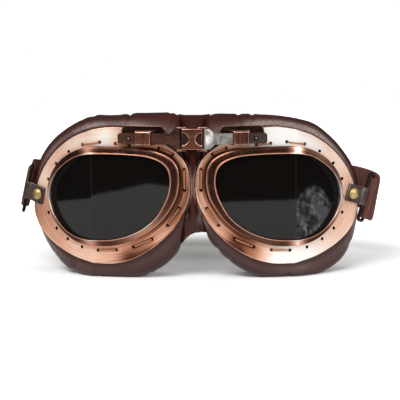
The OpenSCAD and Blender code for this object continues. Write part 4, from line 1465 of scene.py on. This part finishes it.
@dataclass
class NoseBridge:
    """Leather over the nose: a ridge between the plates, folded down to the arch.

    Attributes:
        half: half the width of the middle strip, which rides on the link.
        reach: half the width of the whole leather.
        thickness: the leather's thickness.
        depth: how far back its top and its arch run.
        top: the height of its top.
        arch: (x, height) of its lower edge.
        plate_nose: (height, x) of the plates' edges beside it.
        side_view: (height, y) of its front at the nose line.
        steps: (drop, from, to) of each step down beside the ridge.
        folds: (depth, x, width) of each fold at the arch.
        beside_plates: the heights over which the plates come close and part again.
    """

    half: float = 3.4
    reach: float = 9.2
    thickness: float = 1.2
    depth: float = 25.6
    top: float = 95.9
    arch: Sequence = ((-9.5, 20.0), (-7.2, 20.6), (-4, 24.8), (-1.5, 27), (1.5, 28.2),
                      (4.5, 28.2), (7.2, 27.6), (9.5, 27.0))
    plate_nose: Sequence = ((31.2, 11.5), (43.6, 4.2), (51.5, 1.9), (59.5, 1.6), (68, 3.4),
                            (75, 8.6))
    side_view: Sequence = ((19, 4.4), (27, 2.8), (36, 0.0), (76, 0.0), (82, 3.0), (89, 7.0),
                           (93.6, 11.5), (96, 17.0))
    steps: Sequence = ((1.1, 1.0, 1.7), (2.7, 1.8, 2.7), (8.6, 4.4, 6.4))
    folds: Sequence = ((0.45, 0.9, 0.9), (0.35, 4.6, 1.0), (0.3, -3.6, 1.1), (-0.3, 2.8, 1.0))
    beside_plates: Sequence = ((35, 41), (70, 78))

    def front(self, x: np.ndarray, z: np.ndarray) -> np.ndarray:
        """How far back the leather's front lies.

        The side view's line at height z, plus steps (drop, from, to) beside the ridge where
        the plates come close, plus a crown of 0.1 x² elsewhere, plus folds (depth, x, width)
        at the arch.

        Args:
            x: from the nose line.
            z: height.

        Returns:
            The y of the front.
        """
        y = np.interp(z, *np.array(self.side_view).T)
        tight = plateau(z, *self.beside_plates)
        a = np.abs(x)
        ridge = 0.25 + 0.3 * np.minimum(a, 1) ** 2
        ridge = ridge + sum(drop * smooth_step(a, *span) for drop, *span in self.steps)
        crown = 0.1 * np.minimum(a, NOSE_WALL) ** 2 + 1.4 * np.maximum(0, a - NOSE_WALL)
        low = 1 - smooth_step(z, 34, 42)
        fold = sum(depth * bell(x - at, width) for depth, at, width in self.folds)
        ripple = 0.06 * np.sin(z * 0.9 + x) * np.sin(x * 1.7 + 0.4 * z)
        return y + tight * ridge + (1 - tight) * crown + low * fold + ripple

    def strip(self, first: float, last: float, columns: int, name: str) -> bpy.types.Object:
        """One strip of the nose leather between two x values, with its own thickness.

        Each column runs from behind the arch's edge along its underside, up the front and
        back over the top; the inner face is the outer one moved in along its normal.

        Args:
            first: x of the first column.
            last: x of the last.
            columns: how many there are.
            name: the piece's name.

        Returns:
            The piece, not yet fastened.
        """
        x = np.linspace(first, last, columns)
        foot = np.interp(x, *np.array(self.arch).T)
        up = np.linspace(0, 1, 64)[:, None] ** 0.92
        z = foot + (self.top - foot) * up
        face = np.stack([np.broadcast_to(x, z.shape), self.front(x[None], z), z], -1)
        under = np.linspace(0, 1, 10)[:-1, None, None]
        start = face[:1] * (1, 0, 1) + np.array([0, self.depth, 0.6])
        under = start + (face[:1] - start) * under
        end = face[-1:] * (1, 0, 0) + np.array([0, self.depth, self.top - 0.7])
        over = face[-1:] + (end - face[-1:]) * np.linspace(0, 1, 8)[1:, None, None]
        skin = np.concatenate([under, face, over])
        soft = skin.copy()
        soft[1:-1] = (skin[:-2] + 2 * skin[1:-1] + skin[2:]) / 4
        normal = unit(np.cross(np.gradient(soft, axis=0), np.gradient(soft, axis=1)))
        normal *= -np.sign(normal[len(skin) // 2, columns // 2, 1])
        inner = (soft - normal * self.thickness)[::-1]
        # Painted sheen: lines along the plates' nose edges, and a patch low beside the left plate.
        beside = np.interp(soft[..., 2], *np.array(self.plate_nose).T)
        line = bell(np.abs(soft[..., 0]) - beside + 1.1, 0.75)
        line = line * plateau(soft[..., 2], (31, 40), (70, 78))
        sheen_patch = bell(soft[..., 0] - 4.6, 2.0) * bell(soft[..., 2] - 38.5, 6)
        mark = np.clip(line * 0.95 + sheen_patch * 0.7, 0, 1.2)
        work = Patchwork()
        points = np.concatenate([soft, inner]).transpose(1, 0, 2)
        paint = np.concatenate([mark, np.zeros_like(mark)]).T
        work.grid(points, mark=paint, caps=True)
        return work.build(name, (LEATHER,), Side.LEFT, 75)

    def pad(self) -> bpy.types.Object:
        """The pad behind the ridge: a rounded bar, its section a flattened circle.

        It runs from the arch to the top, narrows at both ends, and reaches from behind the
        leather to the face.

        Returns:
            The piece, not yet fastened.
        """
        low, high, half, face = 30.5, 93.0, 5.0, 27.2
        z, t = np.linspace(low, high, 40), round_angles(32)
        near = np.minimum(np.interp(z, *np.array(self.side_view).T) + 16.0, 21.0)
        end = np.sqrt(np.clip((np.minimum(z - low, high - z) + 1) / half, 0.05, 1))
        x = half * end[:, None] * boxed(np.cos(t), 0.5)
        y = ((near + face) / 2)[:, None] + ((face - near) / 2 * end)[:, None] * boxed(
            np.sin(t), 0.5)
        work = Patchwork()
        work.grid(np.stack([x, y, np.broadcast_to(z[:, None], x.shape)], -1), caps=True)
        return work.build("nose_pad", (PADDING,), Side.LEFT, 60)

    def build(self) -> None:
        """The middle rides on the bridge; each side strip stays where it is laid, on no body."""
        centre = self.strip(-self.half, self.half, 34, "nose_leather")
        fasten(centre, "bridge", "leather", "mask_bridge")
        for side in Side:
            name = side.of("nose_gusset")
            piece = self.strip(side.sign * self.half, side.sign * self.reach, 26, name)
            fasten(piece, None, "leather")
            near, far = (tuple(in_frame(np.array([x, 4.0, ARM_Z]), side)) for x in (3.6, 6.8))
            side.of("arm")
            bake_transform(piece)
            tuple(near)
            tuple(far)
        cushion = self.pad()
        fasten(cushion, "bridge", "padding", "bridge_pad")


@dataclass
class HeadStrap:
    """One side of the woven strap, from its sewn loop on the ring to the back.

    Attributes:
        side: the wearer's side.
        tilt: how far the tab and the ring are turned on the temple panel, in degrees.
        swing: how far the ring hangs out of the panel, in degrees.
        mids: points of the run between the ring and the back.
        plate: the pattern that the tab is riveted to.
        width: the webbing's width.
        thickness: the webbing's thickness.
        fold: from the tab's rivet to the fold in which the ring turns.
        fold_height: how far the fold stands in front of the plate.
        tab: the rivet's place in the pattern.
        reach: from the fold to the ring's outer bar.
        eye: radius of the strap's loop round the bar.
        sewn: how far the two plies are sewn together.
        back: where the run meets the back of the strap.
    """

    side: Side
    tilt: float
    swing: float
    mids: Sequence[Sequence[float]]
    plate: BentPlate = field(default_factory=BentPlate)
    width: float = 25.0
    thickness: float = 1.5
    fold: float = 7.8
    fold_height: float = 1.15
    tab: tuple[float, float] = (101.2, 47.3)
    reach: float = 7.0
    eye: float = 1.15
    sewn: float = 8.0
    back: tuple[float, float, float] = (44.0, 89.0, 46.5)

    def on_ring(self, v: np.ndarray) -> np.ndarray:
        """A point of the ring's own plane, swung, tilted and laid on the temple panel.

        Args:
            v: points in the ring's own axes, its bar along z.

        Returns:
            The points in the cup's own axes.
        """
        a = turned(np.asarray(v, float), self.swing) + (self.fold, -self.fold_height, 0)
        b = turned(a, -self.tilt, 2, 0)
        return self.plate.on_temple(b + (self.tab[0], 0, self.tab[1]))

    @property
    def bar(self) -> np.ndarray:
        """The way along the ring's bar, which is the way across the strap there."""
        return unit(self.on_ring([0, 0, 1]) - self.on_ring([0, 0, 0]))

    def section(self) -> np.ndarray:
        """The strap's section (thickness, width): a circle flattened into a soft-edged band.

        Returns:
            The points round the section.
        """
        t = round_angles(36)
        wide = boxed(np.cos(t), 0.22) * self.width / 2
        thick = boxed(np.sin(t), 0.45) * self.thickness / 2
        selvedge = 1 - 0.12 * bell(np.abs(wide) - self.width / 2 + 2.0, 0.5)
        return np.stack([thick * selvedge, wide], -1)

    def ribbon(self, line: np.ndarray, up: np.ndarray, start: float,
               work: Patchwork) -> None:
        """Carries the section along a line.

        Each ring is the line's point + side * thickness + up * width, where side is square
        to the line and to up.

        Args:
            line: points along the strap's middle.
            up: the way across the strap at each point.
            start: how far along the strap the line begins, so that the weave runs on.
            work: where the grid goes.
        """
        ahead = unit(np.gradient(line, axis=0))
        side = unit(np.cross(ahead, up))
        s = self.section()
        points = (line[:, None] + side[:, None] * s[None, :, :1] + up[:, None] * s[None, :, 1:])
        run = travelled(line) + start
        wide = np.append(s[:, 1], s[0, 1])
        work.grid(points, caps=True, uv=np.stack(np.meshgrid(wide, run), -1)[..., ::-1])

    def route(self, samples: int) -> tuple[np.ndarray, np.ndarray]:
        """The strap's run from the ring to the back, a spline through its points.

        Args:
            samples: points along it.

        Returns:
            Its middle line and the way across the strap at each point.
        """
        first = [self.on_ring([self.reach + self.sewn - d, 0, 0]) for d in (0.3, -3.0)]
        bx, by, bz = self.back
        line = first + [np.array(m, float) for m in self.mids]
        line += [np.array([bx + 5, by, bz]), np.array([bx - 0.2, by, bz])]
        share = np.linspace(0, 1, samples)
        middle = open_curve(line, share)
        lean = np.minimum(1, share * 1.6)[:, None]
        return middle, unit(mixed(self.bar, np.array([0, 0, 1.0]), lean))

    def build_end(self) -> None:
        """The loop sewn round the ring: out along the bar's far side, round it and back."""
        r = self.eye + self.thickness / 2
        turn = np.linspace(math.radians(62), math.radians(298), 26)
        loop = np.stack([r * np.cos(turn), r * np.sin(turn)], -1)
        out = np.array([[self.sewn, 0.78], [6.0, 0.78], [4.2, 0.8], [2.6, 1.05]])
        flat = np.concatenate([out, loop, out[::-1] * (1, -1)])
        flat = open_curve(flat, np.linspace(0, 1, 70))
        spots = np.stack([flat[:, 0] + self.reach, flat[:, 1], 0 * flat[:, 0]], -1)
        line = self.on_ring(spots)
        work = Patchwork()
        self.ribbon(line, np.broadcast_to(self.bar, line.shape), 0.0, work)
        made = work.build(self.side.of("strap_loop"), (WEBBING,), self.side, 60)
        fasten(made, self.side.of("ring"), "webbing", self.side.of("strap_end"))

    def build_seam(self) -> None:
        """Two rows of stitches across the sewn plies, each a short flattened bead."""
        t, ring = np.linspace(0, 1, 9), round_angles(8)
        work = Patchwork()
        for row in (4.6, 6.8):
            for z in np.arange(-10.8, 10.9, 1.8):
                for face in (-1, 1):
                    height = face * (1.56 + 0.16 * np.sin(np.pi * t))
                    line = np.stack([np.full(9, self.reach + row), height, z - 0.6 + 1.2 * t], -1)
                    fat = 0.24 * np.sqrt(np.clip(np.sin(np.pi * t), 0.05, 1))[:, None]
                    bead = line[:, None] + np.stack([fat * np.cos(ring), 0.7 * fat * np.sin(ring),
                                                     0 * fat * ring], -1)
                    work.grid(self.on_ring(bead), caps=True)
        made = work.build(self.side.of("strap_seam"), (DARK_THREAD,), self.side, 60)
        fasten(made, self.side.of("ring"), "waxed_thread")

    def build_runs(self) -> None:
        """The run in four lengths, each staying where it is laid, on no body.

        A cut lies past the zone listed for the length before it and before the zone of
        the one after it.
        """
        of = self.side.of
        line, up = self.route(141)
        run = travelled(line)
        chain = (of("ring"), of("tab"), of("cup"), of("arm"), "bridge")
        cuts = (0.0, 0.36, 0.56, 0.76, 1.0)
        zones = ((0.05, 0.33), (0.38, 0.53), (0.58, 0.73), (0.78, 0.95))
        share = run / run[-1]
        for i, zone in enumerate(zones):
            a, b = (int(np.argmin(np.abs(share - cut))) for cut in cuts[i:i + 2])
            work = Patchwork()
            self.ribbon(line[a:b + 1], up[a:b + 1], run[a], work)
            piece = work.build(of(f"strap_length_{i + 1}"), (WEBBING,), self.side, 60)
            nodes = (of("strap_run"),) if i == 0 else ()
            fasten(piece, None, "webbing", *nodes)
            near, far = (tuple(in_frame(line[int(np.argmin(np.abs(share - z)))], self.side))
                         for z in zone)
            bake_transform(piece)
            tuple(near)
            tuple(far)

    def build(self) -> None:
        """Builds this side of the strap."""
        self.build_end()
        self.build_seam()
        self.build_runs()


@dataclass
class StrapBack:
    """The strap's two plies behind the head, and the slider that joins them."""

    strap: HeadStrap

    def ply(self, first: float, last: float, y: float, name: str, node: str) -> None:
        """A straight length of strap at one depth, between two x values.

        Args:
            first: x of one end.
            last: x of the other.
            y: its depth.
            name: the piece's name.
            node: the solid that it stands for.
        """
        x = np.linspace(first, last, 60)
        line = np.stack([x, np.full(60, y), np.full(60, self.strap.back[2])], -1)
        work = Patchwork()
        self.strap.ribbon(line, np.broadcast_to((0, 0, 1.0), line.shape), 0.0, work)
        fasten(work.build(name, (WEBBING,), Side.LEFT, 60), "bridge", "webbing", node)

    def build(self) -> None:
        """Builds the plies and dresses the slider."""
        y, t = self.strap.back[1], self.strap.thickness
        self.ply(-44.2, 44.2, y, "back_strap", "strap_back")
        self.ply(-38, 24, y + t + 0.15, "strap_spare_end", "strap_tail")
        finished_copy("strap_slider", "slider", "bronze", TAB_METAL, bevel=0.4)
        finished_copy("slider_bar", "slider", "bronze", TAB_METAL)


@dataclass
class Studio:
    """White table, plain soft light and the photograph's camera.

    Attributes:
        target: the point in the goggles' own axes that the camera looks at.
        distance: from there to the camera, in millimetres.
        azimuth: the camera's, in degrees, like its elevation and roll.
        elevation: above the horizon.
        roll: about the line of sight.
        lens: focal length in millimetres for a picture 36 mm wide.
        shift: of the picture, in shares of its width.
        sky: the world's strength, apart from what gloss and the camera see.
        lamps: place and size in metres and power in watts of each light.
        sheet_edge: outline of the table, in the goggles' own axes.
        reflection_glow_shape: outline of the painted reflection as the side pane shows it.
    """

    target: tuple[float, float, float] = (0.0, 10.0, 48.0)
    distance: float = 1000.0
    azimuth: float = 2.5
    elevation: float = 9.0
    roll: float = -0.45
    lens: float = 153.85
    shift: tuple[float, float] = (0.01625, -0.005)
    sky: float = 0.45
    lamps: Mapping = field(default_factory=lambda: {
        "key": ((-0.45, -0.95, 1.1), (0.9, 0.6), 14.0),
        "fill": ((0.95, -0.75, 0.6), (0.6, 0.6), 5.0),
        "top": ((0.1, 0.3, 1.1), (1.0, 0.4), 1.0)})
    sheet_edge: Sequence = ((-350, 900), (-350, -158), (-222, -262), (-189, -279), (-172, -352),
                            (-143, -344), (50, -335), (88, -280), (140, -274), (318, -274),
                            (318, 900))
    reflection_glow_shape: Sequence = ((-3, 18), (-3, 38), (0, 42), (3.5, 48), (7, 51.5), (11, 53.5),
                            (15.5, 54), (19, 52), (22, 47), (26, 40), (26, 18))

    def camera(self) -> None:
        """The camera looks at the target from its azimuth and elevation, rolled a little."""
        az, el, roll = (math.radians(a) for a in (self.azimuth, self.elevation, self.roll))
        back = Vector((math.sin(az) * math.cos(el), -math.cos(az) * math.cos(el), math.sin(el)))
        place = Vector(np.array(self.target) + SHIFT) / 1000 + back * self.distance / 1000
        right = (-back).cross(Vector((0, 0, 1))).normalized()
        up = right.cross(-back)
        c, s = math.cos(roll), math.sin(roll)
        axes = Matrix((right * c + up * s, up * c - right * s, back)).transposed()
        data = bpy.data.cameras.new("camera")
        data.lens, data.sensor_width = self.lens, 36.0
        data.shift_x, data.shift_y = self.shift
        data.clip_start, data.clip_end = 0.05, 20.0
        made = shown("camera", data)
        made.matrix_world = Matrix.Translation(place) @ axes.to_4x4()
        bpy.context.scene.camera = made

    def lamp(self, name: str, place: Sequence[float], size: tuple[float, float],
             power: float) -> None:
        """A rectangular soft light aimed at the goggles.

        Args:
            name: the light's name.
            place: where it stands, in metres.
            size: its width and height in metres.
            power: in watts.
        """
        data = bpy.data.lights.new(name, "AREA")
        data.shape, data.size, data.size_y, data.energy = "RECTANGLE", *size, power
        made = shown(name, data)
        made.location = place
        aim = Vector((0, 0, 0.05)) - Vector(place)
        made.rotation_euler = aim.to_track_quat("-Z", "Y").to_euler()

    def laid(self, name: str, surface: str, outline: np.ndarray,
             height: float) -> bpy.types.Object:
        """A flat stage sheet of one face, with a new material for the caller to fill.

        Args:
            name: the sheet's name.
            surface: its material's name.
            outline: its corners as (x, y), in metres in the shared frame.
            height: how high it lies, in metres.

        Returns:
            The sheet.
        """
        mesh = bpy.data.meshes.new(name)
        mesh.from_pydata([(x, y, height) for x, y in outline], [], [tuple(range(len(outline)))])
        mesh.materials.append(bpy.data.materials.new(surface))
        made = shown(name, mesh)
        return made

    def floor(self) -> None:
        """A white sheet, cut off in front and at the sides, so that the lenses see the dark; to the
        camera it has a painted shadow behind the nose.
        """
        edge = (np.array(self.sheet_edge, float) + SHIFT[:2]) / 1000
        sheet = sheet_of(self.laid("table", "white_table", edge, -5e-5).active_material)
        seen = sheet.add("ShaderNodeLightPath", output="Is Camera Ray")
        x, y = (sheet.part(sheet.place(), axis) for axis in "XY")
        away = (x * x + y * y) ** 0.5
        # Painted shadow: to the camera the table is darker round a spot behind the nose.
        nose = ((x + 0.003) ** 2 + (y - 0.064) ** 2) ** 0.5
        close = 1 - sheet.between(nose, 0.012, 0.064)
        pale = sheet.mix(close, (1.2, 1.2, 1.19, 1), (0.6, 0.6, 0.575, 1))
        pale = sheet.mix(seen, (0.9, 0.9, 0.89, 1), pale)
        plain = sheet.add("ShaderNodeBsdfDiffuse", {}, {"Color": pale})
        far = sheet.between(away, 0.12, 0.26) * 0.5 + 0.03
        glow = sheet.add("ShaderNodeEmission", {}, {"Color": (1, 1, 1, 1),
                                                    "Strength": seen * far})
        both = sheet.add("ShaderNodeAddShader", {}, {0: plain, 1: glow})
        sheet.add("ShaderNodeOutputMaterial", {}, {"Surface": both})

    def reflection_glow(self) -> None:
        """A glowing sheet on the table, seen only in the side pane's gloss: a painted reflection of
        crumpled clear plastic.

        It is drawn as the pane shows it, in (u, z) millimetres across and up the pane. The
        pane turns the camera's rays along r, so that height z is seen 6.49 z along the table:
        place = foot + u * across + (6.49 z + 0.66 u) * r.
        """
        shape = np.array(self.reflection_glow_shape)
        r, across = np.array((0.921, -0.389)), np.array((0.389, 0.921))
        run = 6.49 * shape[:, 1:] + 0.66 * shape[:, :1]
        flat = (np.array((60.0, 8.0)) + SHIFT[:2] + shape[:, :1] * across + run * r) / 1000
        made = self.laid("reflection_glow", "reflection_glow_sheet", flat, 1e-3)
        made.data.uv_layers.new(name="Pattern").data.foreach_set("uv", shape.ravel())
        made.visible_camera = made.visible_diffuse = made.visible_shadow = False
        sheet = sheet_of(made.active_material)
        uv = sheet.pattern()
        folds = sheet.noise(sheet.stretched(uv, (1.2, 0.5, 1)), 0.24, 4.0, 0.55, 1.8)
        swell = sheet.noise(uv, 0.09, 2.0, 0.5, 0.8)
        # Painted reflection: the sheet glows brightest along its folds.
        crests = sheet.between(folds, 0.52, 0.66) * 5.0 + sheet.between(swell, 0.42, 0.6) * 1.6
        glow = sheet.add("ShaderNodeEmission", {}, {"Color": (0.93, 0.93, 1, 1),
                                                    "Strength": crests + 0.35})
        sheet.add("ShaderNodeOutputMaterial", {}, {"Surface": glow})

    def world(self) -> None:
        """White to the camera; to gloss, pale above the horizon and dimmer behind."""
        world = bpy.data.worlds.new("studio")
        bpy.context.scene.world = world
        sheet = sheet_of(world)
        camera = sheet.add("ShaderNodeLightPath", output="Is Camera Ray")
        gloss = sheet.add("ShaderNodeLightPath", output="Is Glossy Ray")
        way = sheet.add("ShaderNodeTexCoord", output="Generated")
        behind = sheet.between(sheet.part(way, "Y"), -0.1, 0.5)
        pale = sheet.between(sheet.part(way, "Z"), 0.02, 0.45) * (0.95 - behind * 0.8) + 0.03
        seen = gloss * pale + (1 - gloss) * self.sky
        strength = camera + (1 - camera) * seen
        shader = sheet.add("ShaderNodeBackground", {}, {"Color": (1, 1, 1, 1),
                                                        "Strength": strength})
        sheet.add("ShaderNodeOutputWorld", {}, {"Surface": shader})

    def build(self) -> None:
        """Sets the camera, the table, the lights and the world."""
        self.camera()
        self.floor()
        self.reflection_glow()
        for name, lamp in self.lamps.items():
            self.lamp(name, *lamp)
        self.world()
        bpy.context.scene.view_settings.view_transform = "Standard"


# The cups' sheen dabs are painted sheen on the leather, their copper dabs painted highlight and
# painted shade on the plate, and their bezel dabs wear and painted highlight.
LEFT_CUP = Cup(
    Side.LEFT, LEFT_MASK,
    pleats=(Pleat(26, 96, 0.7, 1.3), Pleat(35, 95.6, 0.6, 1.2), Pleat(93, 16, 0.35, 2.0),
            Pleat(56, -2, 0.6, 1.4), Pleat(14, 17, 0.5, 1.5), Pleat(20, 10.5, 0.3, 1.5)),
    sheen=((50, 93, 16, 1.1), (72, 84, 15, 1.0), (88, 68, 12, 0.5), (8, 38, 7, 0.8),
           (62, 4, 18, 0.3)),
    copper_highlights_and_shade=((48, 83, 15, 1.0), (24, 82, 12, 0.2), (69, 77, 10, 0.4), (56, 10, 13, 1.0),
                 (77, 15, 13, 0.35), (92, 34, 13, 0.18), (24, 19, 8, -0.5), (36, 16, 7, -0.2),
                 (84, 66, 13, 0.36), (6, 50, 18, -0.05)),
    bezel_wear_and_highlights=((61, 76.5, 3.2, 1.8), (61, 21.5, 3.5, 1.4), (76, 72, 9, 0.3),
                (86, 48, 12, 1.5), (40, 23, 14, 0.1)))
RIGHT_CUP = Cup(
    Side.RIGHT, RIGHT_MASK,
    pleats=(Pleat(10, 95, 0.5, 1.3), Pleat(14, 96, 0.5, 1.2), Pleat(38, 96.4, 1.0, 1.4),
            Pleat(60, 94, 0.4, 1.8), Pleat(73, 2, 0.6, 1.8), Pleat(26, 3, 0.6, 1.3)),
    sheen=((62, 88, 18, 0.5), (86, 70, 16, 0.45), (30, 94, 14, 0.2), (94, 30, 14, 0.2)),
    copper_highlights_and_shade=((51, 84, 10, 0.5), (69, 80, 11, 0.3), (84, 70, 12, 0.18), (91, 57, 9, 0.24),
                 (97, 38, 9, -0.08), (66, 12, 14, 0.2), (37, 12, 7, -0.45), (26, 15, 7, -0.4),
                 (4, 46, 16, -0.3)),
    bezel_wear_and_highlights=((62, 76, 3.2, 1.2), (61, 21.5, 4, 0.8), (30, 31, 12, 0.55), (86, 48, 11, 1.2)))
LEFT_STRAP = HeadStrap(Side.LEFT, -18, 30, ((109, 57, 42.4), (105, 67, 43.8), (95, 77.5, 45.3),
                                            (77, 86, 46.2), (60, 88.7, 46.5)))
RIGHT_STRAP = HeadStrap(Side.RIGHT, 16, 54, ((101.5, 64, 51.8), (96, 75, 49.4),
                                             (84, 83.5, 47.6), (66, 88.2, 46.7)))


def main() -> None:
    """Builds the studio, the bridge, both cups and the strap."""
    logging.basicConfig(level=logging.INFO, format="%(name)s: %(message)s")
    Studio().build()
    finished_copy("bridge_link", "bridge", "dark_copper", LINK_METAL, bevel=0.2,
                  clamped=False)
    finished_copy("hinge_pins", "bridge", "bronze", PIN_METAL)
    for cup in (LEFT_CUP, RIGHT_CUP):
        cup.build()
    NoseBridge().build()
    for strap in (LEFT_STRAP, RIGHT_STRAP):
        strap.build()
    StrapBack(LEFT_STRAP).build()
    bpy.context.view_layer.update()


if __name__ == "__main__":
    main()
